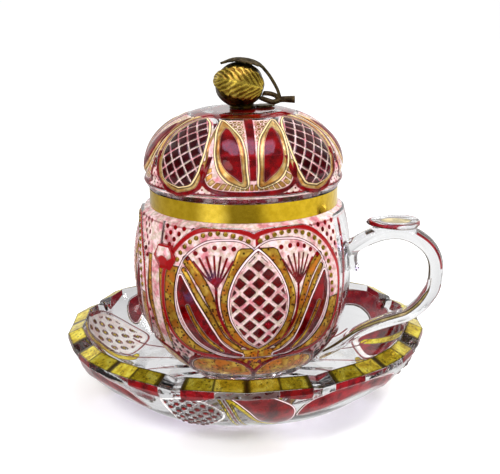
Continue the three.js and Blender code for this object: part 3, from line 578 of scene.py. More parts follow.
# The right half of a panel, x from its middle line and y up the barrel from the foot. Bare numbers in the
# functions that draw layers are distances in millimetres: half widths of lines, margins, limits and depths.
OUTLINE_HALF = stroke(
    [(0, 78.3), (3.5, 80), (12, 81.6), (21, 81.2), (28, 79), (34.5, 73.8), (39.5, 67), (42.8, 60)]
    + [(43.8, 50), (43.6, 42), (42, 34.5), (38.5, 28.6), (32.5, 24.3), (24, 22.6), (15, 22.8)]
)
ARC_HALF = stroke(
    [(0, 73), (2.5, 75), (7, 76.8), (13.5, 77), (20.5, 76), (26.2, 73), (30.5, 69.3), (33.7, 64.3)]
    + [(36, 56), (36.6, 46), (34.5, 37), (29, 29.6), (22, 25.2), (14.5, 22.9), (8.4, 22), (0, 21.7)]
)
OVAL_HALF = stroke(
    [(0, 73.2), (2, 71.6), (5.4, 68), (9, 62.8), (11.4, 57.2), (12.6, 52.3), (12.7, 47.3), (11.5, 41.4)]
    + [(8.3, 35.3), (4.5, 30.8), (0, 28)]
)
OVAL_BAND_HALF = stroke(
    [(8.4, 73.8), (11.4, 66.5), (14, 60.2), (16, 54.6), (16.5, 49.2), (15.4, 42.7), (13, 35.8), (8.8, 30)]
    + [(3.2, 26.8), (0, 26.2)]
)
LANCET = np.vstack(
    [
        stroke(
            [(33.4, 59.5), (29.6, 53.6), (26.5, 48.2), (23.4, 41.8), (20.6, 35.4), (17.4, 29.8), (12.6, 25.6)]
            + [(8, 23.6)]
        ),
        stroke(
            [(8, 23.6), (14, 24.3), (20.5, 26.4), (26.6, 31), (31.4, 38), (34, 46), (34.6, 53)]
            + [(33.4, 59.5)]
        ),
    ]
)
LANCET_SPLIT = stroke([(29.6, 47), (26.4, 39.6), (22.4, 32), (16.8, 26.2)])
RIBBON = stroke([(31.8, 62.8), (28.2, 57.4), (24.9, 51.2), (21.9, 45.4), (19.1, 39), (15.6, 32.6), (9, 26.8)])
STRIPE = stroke(
    [(33.6, 64.6), (29.6, 61), (25.9, 55.8), (23, 50), (20.2, 44.2), (17, 38.2), (13.2, 32.4), (6.6, 27.2)]
)
DIAGONAL = stroke(
    [(30.6, 67.2), (26.8, 63), (23.4, 57.6), (20.9, 51.8), (18.7, 45.4), (16, 39), (12.4, 33.4), (8, 29)]
)
STEM = np.array([(0, 79), (0, 72.6)])
FOOT_STEM = np.array([(0, 26.4), (0, 21)])
FAN_ROOT = np.array([18.0, 55.5])
FAN_LINE = stroke([(18, 57), (17.9, 50.4), (16.9, 44), (14.4, 37.4), (10.6, 31.6), (4.6, 27.2)])
FAN_START = -30.0
FAN_SPREAD = 68.0
FAN_RIBS = 6
FAN_REACH = 15.0
ARC_DOTS = np.array([(10.4, 73.4), (14.6, 73.6), (18.8, 73.6), (22.6, 72.6), (26.2, 70.6), (29.7, 68)])
BAND_DOTS = stroke(
    [(2.6, 76.6), (6.6, 78.2), (11, 79.2), (16, 79.8), (21, 79), (25.6, 77.4), (29.4, 75), (32.6, 71.8)]
    + [(35.4, 66.4), (37.2, 60), (38.4, 53), (39.2, 46)],
    40,
)
BAND_DOT_PITCH = 3.5
GOLD_SIDE_TOP = 64.0
GOLD_INNER_TOP = 47.0
PETAL_HALF = stroke([(0, 21.4), (6, 20.8), (11, 18.2), (14.4, 13.8), (15.7, 10)])
PETAL_SPREAD = 40.0
FOOT_PETAL = whole(np.vstack([PETAL_HALF, [(15.7, 5.6)]]))
FOOT_PETAL_EDGE = np.vstack([PETAL_HALF, [(15.7, 2)]])
LATTICE_WIDTH = 8.0
LATTICE_ROW = 7.5
LATTICE_START = 66.2
LATTICE_PITCH = 5.47
LATTICE_SQUARE = 3.7
SPANDREL_PITCH = 3.7


def panel_layers(x, y):
    """Layers and relief of a panel at places x, y in millimetres, with x towards the handle's side."""
    outer = np.stack([np.abs(x), y], 1)
    inner_x = x - INNER_SHIFT * np.clip(1 - (np.abs(x) - 18) / 8, 0, 1)
    folded = np.stack([np.abs(inner_x), y], 1)
    outline_line = line_distance(outer, OUTLINE_HALF)
    in_outline = region(outer, whole(OUTLINE_HALF))
    in_arc = region(outer, whole(ARC_HALF))
    in_oval = region(folded, whole(OVAL_HALF))
    in_band = region(folded, whole(OVAL_BAND_HALF))
    in_lancet = region(folded, LANCET) - 0.9
    split, stripe, diagonal = (line_distance(folded, line) for line in (LANCET_SPLIT, STRIPE, DIAGONAL))
    diagonal_half = 1.2 + np.clip((y - 30) / 30, 0, 1)

    from_root = folded - FAN_ROOT
    fan_radius = np.hypot(*from_root.T)
    fan_share = (np.degrees(np.arctan2(*from_root.T)) - FAN_START) / FAN_SPREAD
    in_fan = both(fan_radius - FAN_REACH, band(fan_share - 0.5, 0.56) * 16)
    rib = from_whole(fan_share * FAN_RIBS) * fan_radius * math.radians(FAN_SPREAD / FAN_RIBS)

    cells = lattice_cells(inner_x, y - LATTICE_START, LATTICE_WIDTH, LATTICE_ROW)
    square = np.maximum(*cells) * LATTICE_PITCH - LATTICE_SQUARE / 2
    in_lattice = in_oval + 1.3
    spandrel_dot = np.hypot(*lattice_cells(x, y, SPANDREL_PITCH * 1.4)) * SPANDREL_PITCH - 1.15
    outside = both(1.4 - in_outline, np.abs(x) - 46)
    spandrel = either(both(outside, 61 - y), both(outside, y - 42, 17 - y))
    between = both(in_outline + 1.0, 0.3 - in_arc)
    gold_top = np.where(x < 0, GOLD_SIDE_TOP, GOLD_INNER_TOP)
    ruby = either(
        outline_line - 1.05,
        line_distance(folded, STEM) - 0.95,
        line_distance(folded, FOOT_STEM) - 0.4,
        both(square, in_lattice),
        both(in_lancet + 0.3, 1.0 - split),
        line_distance(folded, FAN_LINE) - 0.65,
        both(rib - 0.5, in_fan),
        np.hypot(*(folded[:, None] - ARC_DOTS).T).min(0) - 1.1,
        both(spandrel_dot, spandrel),
    )
    gold = either(
        both(in_band, 0.3 - in_oval, y + 0.6 * folded[:, 0] - 78),
        both(in_lancet, split - 1.0),
        line_distance(folded, RIBBON) - 1.3,
        diagonal - diagonal_half,
        both(between, y - gold_top),
        both(0.3 - in_arc, y - 24, np.abs(x) - 20, 8 - y),
        both(in_arc + 0.3, y - 27, folded[:, 0] - 9, 0.8 - in_oval),
        both(band(x + 46.2, 1.5), y - 64, 24 - y),
    )
    white_band = both(between, gold_top - y)
    white = either(in_oval - 0.6, white_band, both(in_arc + 0.3, -in_lancet), stripe - 0.7, spandrel)
    relief = PANEL_RISE * step(in_outline - 1.7, 0.8) + 0.25 * step(outline_line - 1.0, 0.4)
    relief += groove(in_arc, 0.8, 0.45) + 1.1 * step(in_oval, 0.7)
    relief -= 0.75 * np.clip(square / 0.9, 0, 1) * step(in_lattice)
    relief += np.clip(-in_lancet / 4.5, 0, 1) + groove(stripe, 1.0, 0.5)
    relief += 0.35 * np.sqrt(np.clip(1 - (diagonal / 1.7) ** 2, 0, 1))
    relief += groove(rib, 0.8, 0.4) * step(in_fan, 0.4)
    relief += 0.4 * np.clip(-both(in_band, -in_oval), 0, 1.5) / 1.5
    arc = np.where(in_outline > 1.25, -OFF, in_arc)
    square = np.where(in_lattice < 0.4, square, OFF)
    layers = {"arc": arc, "oval": in_oval, "lancet": in_lancet - 0.2, "square": square}
    return {"ruby": ruby, "gold": gold, "white": white, "relief": relief, **layers}


def petal_layers(angle, y):
    """Layers and relief of the eight petals above the foot."""
    x = wrap(angle - LOBE_ANGLE / 2, LOBE_ANGLE) * math.radians(PETAL_SPREAD)
    places = np.stack([np.abs(x), y], 1)
    in_petal = region(places, FOOT_PETAL)
    edge = line_distance(places, FOOT_PETAL_EDGE)
    ruby = either(edge - 0.95, band(y - 2.2, 0.5))
    gold = either(in_petal + 1.3, band(y - 4, 0.8))
    relief = 0.8 * step(edge - 1.0, 0.6) + 0.5 * step(in_petal, 2.0)
    return {"ruby": ruby, "gold": gold, "white": band(in_petal + 0.9, 0.5), "relief": relief}


BOWL_LAYERS = ("ruby", "gold", "white", "arc", "oval", "lancet", "square")
PETAL_TOP = 26.0
HANDLE_LINE_ANGLE = 17.1
SHOULDER_LINE = barrel.length - 0.9
SEAM_ANGLE = 134.6
SEAM_HALF_WIDTH = 5.2


def bowl_layers(angles, along):
    """Layers and relief on the barrel, angles from the handle and distances up from the foot."""
    found = {layer: np.full(len(angles), OFF) for layer in BOWL_LAYERS}
    found["relief"] = np.zeros(len(angles))
    for centre, half, side in PANELS:
        offset = wrap(angles - centre)
        here = np.abs(offset) < half + PANEL_MARGIN
        x = side * np.radians(offset[here]) * BARREL_RADIUS * SIDE_HALF / half
        for layer, values in panel_layers(x, along[here]).items():
            found[layer][here] = values
    low = np.flatnonzero(along < PETAL_TOP)
    petals = petal_layers(angles[low] + SIDE_PANEL, along[low])
    for layer, values in petals.items():
        merge = np.maximum if layer == "relief" else np.minimum
        found[layer][low] = merge(found[layer][low], values)
    gilded = low[petals["gold"] < 0]
    found["ruby"][gilded] = np.maximum(found["ruby"][gilded], 0.6)

    def beside(angle):
        """Distance round the barrel from the upright lines at this angle on both sides of the handle."""
        return np.abs(np.abs(angles) - angle) * math.radians(BARREL_RADIUS)

    handle_line = both(beside(HANDLE_LINE_ANGLE) - 1.3, 22 - along, along - 80)
    seam = both(beside(SEAM_ANGLE) - SEAM_HALF_WIDTH, 18 - along, along - 84)
    brown_strip = both(beside(SEAM_ANGLE + 2.6) - 1.6, 22 - along, along - 66)
    found["ruby"] = either(found["ruby"], handle_line, band(along - SHOULDER_LINE, 0.3))
    found["white"] = either(found["white"], seam)
    found["gold"] = either(found["gold"], brown_strip)
    return found


BOWL_UNDERSIDE = ((8, 1.6), (20.4, 1.6), (22, 0.1), (22.4, 0))
BOWL_NECK = ((NECK_RADIUS, 79.4), (NECK_RADIUS, 87.4), (43.5, 88), (40, 88), (39.2, 87.2))
BOWL_INSIDE = stroke(
    [(39.2, 84), (39.2, 78.5), (42.2, 68), (45.2, 50), (44.7, 40), (40.7, 22), (33.9, 11.9), (22.4, 8.5)]
    + [(8, 8.4)],
    2,
)
SHOULDER_SHARES = (0.35, 0.7, 1.0)
SHOULDER_INSET = 3.2
SHOULDER_RISE = 1.7
FOOT_FLARE = 1.2
FOOT_FADE = 7.0


def bowl_mesh():
    """The cut bowl with its foot, barrel, shoulder, neck and inside."""
    angles = np.arange(BOWL_COLUMNS) * 360 / BOWL_COLUMNS
    lobes = FOOT_LOBE_DEPTH * np.abs(np.sin(np.radians(4 * (angles - 90))))
    rings = Rings(angles, BOWL_LAYERS, BOWL_BASE)
    rings.turn_all(BOWL_UNDERSIDE)
    rings.turn(FOOT_RADIUS + lobes, 0, white=-1.0)
    rings.turn(FOOT_RADIUS + FOOT_FLARE + lobes, 2)
    for along in np.linspace(0, barrel.length, BARREL_ROWS):
        found = bowl_layers(wrap(angles - 90), np.full(BOWL_COLUMNS, along))
        fade = np.clip(1 - along / FOOT_FADE, 0, 1)
        rise = found.pop("relief") * (1 - fade) + lobes * fade
        rings.turn(*barrel.raised(along, rise), **found)
    for share in SHOULDER_SHARES:
        radius = NECK_RADIUS + SHOULDER_INSET * (1 - share)
        rings.turn(radius, SHOULDER_HEIGHT + SHOULDER_RISE * share, white=-0.5)
    rings.turn_all(BOWL_NECK)
    rings.turn_all(BOWL_INSIDE)
    return rings.body("bowl_glass", sharp_angle=SHARP_CUT)


NECK_BAND = (79.3, 87.5)
GILDING_THICKNESS = 0.12


def neck_band_mesh():
    """The plain gilt band round the neck."""
    rings = Rings(np.arange(180) * 2.0, (), BOWL_BASE)
    low, high = NECK_BAND
    inner = NECK_RADIUS + 0.03
    outer = inner + GILDING_THICKNESS
    rings.turn_all(((inner, low), (outer, low), (outer, high), (inner, high)))
    return rings.body("neck_gilding", closes_on_itself=True, sharp_angle=SHARP_CUT)


# Lid: a dome with tulips and lattice ovals between them.

DOME_START = 9.0
DOME_CORE = 8.0
DOME_SPAN = 38.0
DOME_TOP_SPAN = 13.0
DOME_REACH = (LID_HEIGHT - DOME_START) / math.sqrt(1 - (DOME_TOP_SPAN / DOME_SPAN) ** 2)


def dome_radius(height):
    """Radius of the dome, which is a quarter ellipse above its start."""
    share = np.clip((height - DOME_START) / DOME_REACH, 0, 1)
    return DOME_CORE + DOME_SPAN * np.sqrt(1 - share**2)


dome_heights = np.linspace(9.2, LID_HEIGHT, 400)
dome_top = np.stack([dome_radius(dome_heights), dome_heights], 1)
dome = Path(np.vstack([[(44.3, 0), (46, 3), (45.1, 5.6), (46, DOME_START)], dome_top]))

# The tulip's right half and the oval's right half, x round the dome and y up it.
CUP_LINE = stroke([(20.6, 17.5), (20.5, 13), (19.8, 9.5), (17.8, 6.9), (13.5, 5.3), (7.5, 4.8), (0, 4.6)])
CUP_HALF = np.vstack([stroke([(12, 44), (16.4, 34), (19.4, 26), (20.6, 17.5)]), CUP_LINE])
PETAL = stroke(
    [(10.2, 36.8), (12.6, 32), (13.5, 26.5), (13.8, 21.5), (13.1, 17.7), (11, 14.6), (8, 12.2), (4.7, 10.1)]
    + [(4.8, 15.7), (5, 20), (5.4, 24.6), (6.2, 29), (7.5, 32.6), (8.9, 35.6), (10.2, 36.8)]
)
PETAL_BORDER = stroke(
    [(11.4, 42), (13.6, 34.5), (14.6, 28), (15.2, 21.7), (14.2, 15.4), (11, 11.3), (6, 8.9), (3.1, 8.7)]
    + [(3.5, 15.4), (3.6, 21.9), (4.2, 26.7), (5.2, 30.8), (7.6, 35.5), (10.3, 40.5), (11.4, 42)]
)
LID_OVAL_HALF = stroke(
    [(0, 43.5), (4.5, 39.5), (8.8, 32), (10.8, 25), (11.4, 19.5), (10.5, 13.5), (7, 8.2), (0, 6)]
)
CUP_CENTRE_HEIGHT = 24.0
CELL_ANGLE = 6.5


def lid_layers(angles, along):
    """Layers and relief of the dome, angles from the front and distances up from its lower edge."""
    radius, _ = dome.at(along)

    def across(turn):
        return np.abs(np.radians(wrap(angles - turn, LID_PERIOD)) * radius)

    x = across(TULIP_TURN)
    inner_x = across(TULIP_TURN + PETAL_TURN)
    folded = np.stack([x, along], 1)
    inner = np.stack([inner_x, along], 1)
    far = np.radians(np.abs(wrap(angles - TULIP_TURN, 2 * LID_PERIOD)) - LID_OVAL_TURN) * radius
    in_cup = region(folded, whole(CUP_HALF))
    cup_line = line_distance(folded, CUP_LINE)
    in_petal = region(inner, PETAL)
    in_border = region(inner, PETAL_BORDER)
    in_oval = region(np.stack([np.abs(far), along], 1), whole(LID_OVAL_HALF))
    tilt = math.radians(LID_LATTICE_TILT)
    first = (-far * math.cos(tilt) + along * math.sin(tilt)) / LID_LATTICE
    second = (far * math.sin(tilt) + along * math.cos(tilt)) / LID_LATTICE
    square = np.maximum(from_whole(first), from_whole(second)) * LID_LATTICE - LID_SQUARE / 2
    in_lattice = in_oval + 0.7
    stripe = both(inner_x - 1.2 - 0.018 * along, 10.6 - along, along - 44)
    foot_square = both(inner_x - 1.8, band(along - 9.2, 1.3))
    cell = np.degrees(np.arctan2(x, CUP_CENTRE_HEIGHT - along)) / CELL_ANGLE
    in_cells = both(in_cup + 1.3, -in_cup - 4.5, along - 16)
    curl = band(np.hypot(*lattice_cells(inner_x + 1.2, along, 3.6)) * 2.6 - 0.85, 0.24)
    in_scroll = both(in_cup + 1.5, 1.6 - in_border, 0.7 - stripe, inner_x - 9, 17 - along)
    low_ring = both(band(in_oval - 3.2, 1.0), along - 21)
    spandrel = both(4.0 - in_oval, 0.8 - cup_line, -in_cup, 4.4 - along, along - 14)
    spandrel_dot = np.hypot(*lattice_cells(far, along, 3.0)) * 2.1 - 0.5
    high_band = both(18 - along, -far)
    ruby = either(
        both(cup_line - 1.05, along - 17.5),
        in_petal,
        stripe,
        both(square, in_lattice),
        low_ring,
        both(band(in_oval - 2.5, 0.75), high_band),
        both(band(in_oval - 6.6, 0.9), high_band),
        both(spandrel_dot, spandrel),
        both(band(along - 4.0, 0.45), 3 - in_oval, -in_cup),
        44.6 - along,
    )
    gold = either(
        both(in_border - 0.4, -in_petal),
        both(in_cells, 0.45 - from_whole(cell) * 4.4),
        both(band(in_cup + 2.0, 0.6), 16 - along, along - 36, 1.6 - in_border),
        both(in_oval - 2.3, 0.5 - in_oval, along - 19),
        both(band(in_oval - 1.0, 0.55), high_band),
        both(band(in_oval - 4.4, 1.1), high_band, in_oval - 6),
        both(-curl, in_scroll),
    )
    white = either(
        in_oval - 0.5,
        both(in_oval - 1.7, along - 21),
        both(in_cup + 1.0, along - 44.6),
        both(in_oval - 3.3, high_band),
        both(in_oval - 1.3, far, 16 - along),
        spandrel,
        foot_square,
        band(along - 2.6, 0.4),
    )
    relief = 0.5 * step(in_oval, 0.8) - 0.7 * np.clip(square / 0.6, 0, 1) * step(in_lattice)
    relief += 0.8 * pillow(in_petal, 5) + 0.3 * step(in_border)
    relief += 0.4 * step(cup_line - 1.1) * step(along - 17.5, 1) + 0.4 * step(low_ring)
    relief += groove(in_oval - 3.2, 0.5, 0.3) * step(17 - along, 1) + 0.3 * step(stripe)
    square = np.where(in_lattice < 0.4, square, OFF)
    layers = {"oval": in_oval, "petal": in_border - 1.0, "square": square}
    return {"ruby": both(ruby, -foot_square), "gold": gold, "white": white, "relief": relief, **layers}


LID_LAYERS = ("ruby", "gold", "white", "oval", "petal", "square")
LID_RIM = ((34.9, -5), (38.7, -5), (38.7, -3), (38.7, 0), (44.3, 0))
BORE_RADIUS = 2.7
LID_INSIDE = stroke(
    [(9, LID_CEILING), (18, 28), (26.3, 25.7), (34, 20.3), (36.8, 14.1), (35.2, 4), (34.9, 0)], 3
)
LID_TOP_RADII = (18, 14, 10, 6, BORE_RADIUS)
RUBY_TOP_RADIUS = 15.0


def lid_mesh():
    """The hollow dome with its spigot and the bore for the stud."""
    angles = np.arange(LID_COLUMNS) * 360 / LID_COLUMNS
    rings = Rings(angles, LID_LAYERS, LID_BASE)
    rings.turn_all(LID_RIM)
    for along in np.linspace(0.4, dome.length, DOME_ROWS):
        found = lid_layers(angles, np.full(LID_COLUMNS, along))
        rise = found.pop("relief") - 0.4 * np.clip((along - 10) / 4, 0, 1)
        rise = np.minimum(rise, 0.4 * np.clip(along / 6, 0, 1) + 0.3)
        rings.turn(*dome.raised(along, rise), **found)
    for radius in LID_TOP_RADII:
        rings.turn(radius, LID_HEIGHT, ruby=radius - RUBY_TOP_RADIUS)
    rings.turn(BORE_RADIUS, LID_CEILING)
    rings.turn_all(LID_INSIDE)
    return rings.body("lid_glass", closes_on_itself=True, sharp_angle=SHARP_CUT)


# Stand: a deep dish with a lobed rim of gilt facets and a star cut base.


def bezier(start, bend, end):
    """A curve from start to end that leaves and arrives towards the bend."""
    start, bend, end = np.array([start, bend, end], float)
    shares = np.linspace(0, 1, 200)[:, None]
    return (1 - shares) ** 2 * start + 2 * shares * (1 - shares) * bend + shares**2 * end


underside = Path(bezier((49, 0), (73, 10), (85, DISH_HEIGHT - FACET_DROP - RIM_EDGE)))
well = Path(bezier((54, WELL_FLOOR), (70, 14.2), (78, DISH_HEIGHT)))


def rim_fall(angles):
    """How far the rim falls back at each angle, as a share of the notch, and the corners of its facets."""
    in_lobe = (angles - DISH_TURN) % LOBE_ANGLE
    facet = (LOBE_ANGLE - 2 * NOTCH_HALF_ANGLE) / FACETS_PER_LOBE
    corners = [0.0] + [NOTCH_HALF_ANGLE + facet * k for k in range(FACETS_PER_LOBE + 1)] + [LOBE_ANGLE]
    back = [1.0, NOTCH_SHARE] + [0.0] * (FACETS_PER_LOBE - 1) + [NOTCH_SHARE, 1.0]
    back[1 + FACETS_PER_LOBE // 2] = CUSP_SHARE
    return np.interp(in_lobe, corners, back), np.array(corners), in_lobe


def rim_ring(angles, radius, height):
    """A ring of the rim, straight along each facet."""
    back, corners, in_lobe = rim_fall(angles)
    index = np.clip(np.searchsorted(corners, in_lobe, side="right") - 1, 0, len(corners) - 2)
    half_width = np.radians((corners[index + 1] - corners[index]) / 2)
    from_middle = np.radians(in_lobe - corners[index]) - half_width
    chord = np.cos(half_width) / np.cos(from_middle)
    return around(angles, (radius - NOTCH_DEPTH * back) * chord, height - NOTCH_DROP * back)


def rim_places(angles):
    """Distances outside a row of facets and to a facet's corner, and the angle from the nearest notch."""
    back, corners, in_lobe = rim_fall(angles)
    to_corner = np.abs(in_lobe[:, None] - corners).min(1) * math.radians(DISH_RADIUS)
    return (back - NOTCH_SHARE - 0.01) * 8, to_corner, np.minimum(in_lobe, LOBE_ANGLE - in_lobe)


# Drawings on the outside of the dish, x round it and y up it, centred on each quarter.
TEAR = stroke(
    [(-13, 47), (-6, 47.6), (2, 47), (7, 44), (12.4, 38.7), (13.6, 32), (11.8, 24), (6.8, 20), (0.7, 24)]
    + [(-5, 35.5), (-9.5, 43), (-13, 47)]
)
DISH_OVAL = stroke(
    [(-13, 42), (-6.5, 45), (1.3, 44.6), (8, 42), (12.9, 35.3), (11.5, 28.5), (6.9, 22.5), (0, 15), (-6, 14)]
    + [(-9.5, 20), (-11, 33), (-13, 42)]
)
DISH_LANCET = stroke(
    [(-27, 34), (-25.5, 30), (-16.8, 31), (-8.4, 35), (0.7, 37), (8.5, 36), (15, 33), (22.5, 28), (25.5, 32)]
    + [(24, 38), (21.7, 41.5), (15.5, 44), (4.5, 46), (-13.5, 46.2), (-22, 43.9), (-26.5, 38.7), (-27, 34)]
)
DISH_CURVE = stroke([(-17, 47), (-13.5, 37.6), (-10, 24), (-6.6, 10.6)])
TEAR_CENTRE = 15.0
DISH_OVAL_CENTRE = -6.5
DISH_LANCET_CENTRE = 47.0
STUD_PITCH = 5.8


def dish_outside(angles, along):
    """Layers and relief under the rim, angles from the front and distances up from the base."""
    scale = np.radians(1) * underside.at(along)[0]

    def places(centre):
        return np.stack([wrap(angles - centre, 2 * LOBE_ANGLE) * scale, along], 1)

    tear_places = places(TEAR_CENTRE)
    oval_places = places(DISH_OVAL_CENTRE)
    in_tear = region(tear_places, TEAR)
    in_oval = region(oval_places, DISH_OVAL)
    in_lancet = region(places(DISH_LANCET_CENTRE), DISH_LANCET)
    curve = line_distance(tear_places, DISH_CURVE)
    stud = np.hypot(*lattice_cells(oval_places[:, 0], along, STUD_PITCH)) * STUD_PITCH / 1.4 - 1.45
    outside_row, _, from_notch = rim_places(angles)
    crescent = underside.length - along - 3.4 * np.clip((15 - from_notch) / 8, 0, 1)
    tear_border = both(in_tear - 3.0, 0.6 - in_tear, tear_places[:, 0] - 8)
    ruby = either(in_tear, in_lancet, curve - 0.5, both(stud, in_oval + 1), both(crescent, outside_row))
    lancet_border = both(in_lancet - 1.3, 0.3 - in_lancet, along - 40)
    gold = either(tear_border, lancet_border, both(band(curve - 1.6, 0.8), 0.5 - in_oval))
    white = either(band(in_oval, 0.4), both(in_tear - 0.8, -tear_border))
    relief = 0.7 * pillow(in_tear, 5) + 0.6 * np.clip(-in_lancet / 3, 0, 1)
    relief += 1.1 * step(stud, 0.6) * step(in_oval + 1, 0.4) - 0.3 * step(in_oval, 0.8)
    relief *= np.clip((underside.length - along) / 4, 0, 1)
    tear = either(in_tear, in_lancet) * 1.3 - 0.39
    stud = np.where(in_oval < -0.5, stud + 0.2, OFF)
    return {"ruby": ruby, "gold": gold, "white": white, "tear": tear, "stud": stud, "relief": relief}


# Drawings in the well, x round it and y up it. The oval leans, and leans the other way at every second place.
WELL_OVAL = stroke(
    [(8.6, 31.5), (-5, 28.5), (-15, 18.5), (-18, 7), (-8, 3), (5, 4), (11.4, 9.7), (15.7, 20.8), (20, 29)]
    + [(14, 32.5), (8.6, 31.5)]
)
WELL_OVAL_CENTRES = ((-93.0, 1), (104.5, -1), (5.75, 1), (-174.0, -1))
WELL_OVAL_REACH = 34.0
WELL_OVAL_AXIS = np.array([(-11.0, 8.0), (15.0, 27.0)])
DOT_PITCH = 8.2


def dish_inside(angles, along):
    """Layers and relief of the well. Half of its ovals are ruby lenses, the others have gilt dots."""
    scale = np.radians(1) * well.at(along)[0]
    in_oval, dot, beside, axis_gap, outside_lens = np.full((5, len(angles)), OFF)
    for centre, side in WELL_OVAL_CENTRES:
        x = side * wrap(angles - centre) * scale
        near = np.abs(x) < WELL_OVAL_REACH
        places = np.stack([x[near], along[near]], 1)
        distance = region(places, WELL_OVAL)
        leaning = lattice_cells(places[:, 0] - 0.4 * places[:, 1], places[:, 1], DOT_PITCH)
        in_oval[near] = distance
        dot[near] = np.hypot(*leaning) * DOT_PITCH / 1.4
        beside[near] = both(distance - 6.5, 2.2 - distance, 4 - places[:, 0])
        axis_gap[near] = line_distance(places, WELL_OVAL_AXIS)
        outside_lens[near] = side * OFF
    ring = both(band(dot - 1.55, 0.45), in_oval + 1.6, -outside_lens)
    lens = both(in_oval + 1.8, outside_lens)
    lens_band = both(lens, axis_gap - 2.2)
    rays = both(np.abs(wrap(angles - DISH_TURN, STAR_RAY)) * scale - RAY_HALF_WIDTH, along - 9)
    ruby = either(band(in_oval - 1.2, 0.5), both(lens, -lens_band), rays, ring)
    gold = either(beside, both(dot - 1.15, in_oval + 1.6, -outside_lens), lens_band)
    return {"ruby": ruby, "gold": gold, "white": in_oval, "relief": -0.3 * step(in_oval, 0.6)}


DISH_LAYERS = ("ruby", "gold", "white", "tear", "stud")
STAR_RADII = (13.0, 20.0, 27.0, 34.0, 40.5)
FACET_SHARES = (0.02, 0.12, 0.2, 0.5, 0.8, 0.88, 0.98)
WELL_FLOOR_RADII = (50.0, 42.0, 36.0, 30.0, 15.0)
RAY_START = 35.0
WAVE_DEPTH = 1.1


def dish_mesh():
    """The deep dish, from its star cut base over the rim into the well."""
    angles = DISH_TURN + np.arange(DISH_COLUMNS) * 360 / DISH_COLUMNS
    from_ray = np.abs(wrap(angles - DISH_TURN, STAR_RAY))
    rings = Rings(angles, DISH_LAYERS)

    def add_row(profile, along, rise, blend, found):
        """A ring of the profile, which passes over into the lobed rim."""
        blend = np.clip(blend, 0, 1)
        ring = around(angles, *profile.raised(along, rise))
        rings.add(ring * (1 - blend) + rim_ring(angles, *profile.at(along)) * blend, **found)

    rings.turn(9.0, 0.0)
    for radius in STAR_RADII:
        rings.turn(radius, STAR_DEPTH * from_ray * 2 / STAR_RAY)
    rings.turn(44.5, 0.0)
    rings.turn(47.0, 0.0)
    waves = WAVE_DEPTH * np.abs(np.cos(np.radians((angles - DISH_TURN) * 4)))
    for along in np.linspace(0, underside.length, UNDER_ROWS)[:-1]:
        share = along / underside.length
        found = dish_outside(angles, np.full(DISH_COLUMNS, along))
        rise = found.pop("relief") + waves * math.sin(math.pi * share)
        add_row(underside, along, rise, (share - 0.8) / 0.2, found)
    outside_row, to_corner, from_notch = rim_places(angles)
    edge_ruby = both(outside_row, from_notch * 1.48 - 20)
    rim_edge = DISH_HEIGHT - FACET_DROP
    for share in (0.0, 0.5, 1.0):
        rings.add(rim_ring(angles, DISH_RADIUS, rim_edge - RIM_EDGE * (1 - share)), ruby=edge_ruby)
    for share in FACET_SHARES:
        to_edge = FACET_WIDTH * min(share, 1 - share)
        ring = rim_ring(angles, DISH_RADIUS - FACET_WIDTH * share, rim_edge + FACET_DROP * share)
        rings.add(ring, gold=outside_row, stud=np.minimum(to_corner, to_edge) / FACET_FRAME)
    rings.add(rim_ring(angles, DISH_RADIUS - FACET_WIDTH, DISH_HEIGHT))
    for along in np.linspace(well.length, 0, WELL_ROWS)[1:]:
        found = dish_inside(angles, np.full(DISH_COLUMNS, along))
        rise = -found.pop("relief") * np.clip((well.length - along) / 4, 0, 1)
        add_row(well, along, rise, (along / well.length - 0.75) / 0.25, found)
    for radius in WELL_FLOOR_RADII:
        outside_ray = -RAY_HALF_WIDTH if radius > RAY_START else OFF
        rings.turn(radius, WELL_FLOOR, ruby=from_ray * math.radians(radius) + outside_ray)
    return rings.body("stand_glass", sharp_angle=26)


# Gilt dots and jewels, on the barrel.

DOT_RADIUS = 1.2
DOT_RISE = 0.6
DOT_CORNERS = 8
DOT_STEPS = ((1.0, -0.3), (0.85, 0.55), (0.45, 0.92))


def dome_cluster(name, places):
    """Many small domes in one mesh, each on its place and pointing outwards."""
    turns = np.arange(DOT_CORNERS) * 2 * math.pi / DOT_CORNERS
    points, faces = [], []
    for centre, out in places:
        side = unit(np.cross(out, (0, 0, 1)))
        up = np.cross(side, out)
        circle = DOT_RADIUS * (np.outer(np.cos(turns), side) + np.outer(np.sin(turns), up))
        first = len(points)
        for share, lift in DOT_STEPS:
            points.extend(centre + circle * share + out * DOT_RISE * lift)
        points.extend([centre + out * DOT_RISE * DOT_STEPS[0][1], centre + out * DOT_RISE])
        for face in ring_faces(len(DOT_STEPS), DOT_CORNERS):
            faces.append([first + corner for corner in face])
    return make_mesh(name, np.array(points), faces)


def band_dots():
    """The row of gilt dots along the white part of each panel's border."""
    line = Path(BAND_DOTS)
    places = []
    for middle, half, side in PANELS:
        for sign in (-1, 1):
            for x, y in line.at(np.arange(0, line.length, BAND_DOT_PITCH)).T:
                if y >= (GOLD_SIDE_TOP if sign * side < 0 else GOLD_INNER_TOP):
                    angle = middle + sign * math.degrees(x / BARREL_RADIUS) * half / SIDE_HALF + 90.0
                    radius, height = barrel.raised(y, PANEL_RISE)
                    centre = around(angle, radius, BOWL_BASE + height)
                    places.append((centre, around(angle, *barrel.outward(y))))
    return dome_cluster("bowl_gilt_dots", places)


JEWEL_ANGLE = 123.0
JEWEL_HEIGHT = 63.0
JEWEL_HALF_WIDTH = 7.0
JEWEL_HALF_HEIGHT = 5.5
JEWEL_STEPS = ((1.0, -1.0), (1.0, 1.5), (0.82, 2.0), (0.45, 2.6))
JEWEL_RUBY = ((-1.0,), (-1.0,), (-0.35,), (0.1,))


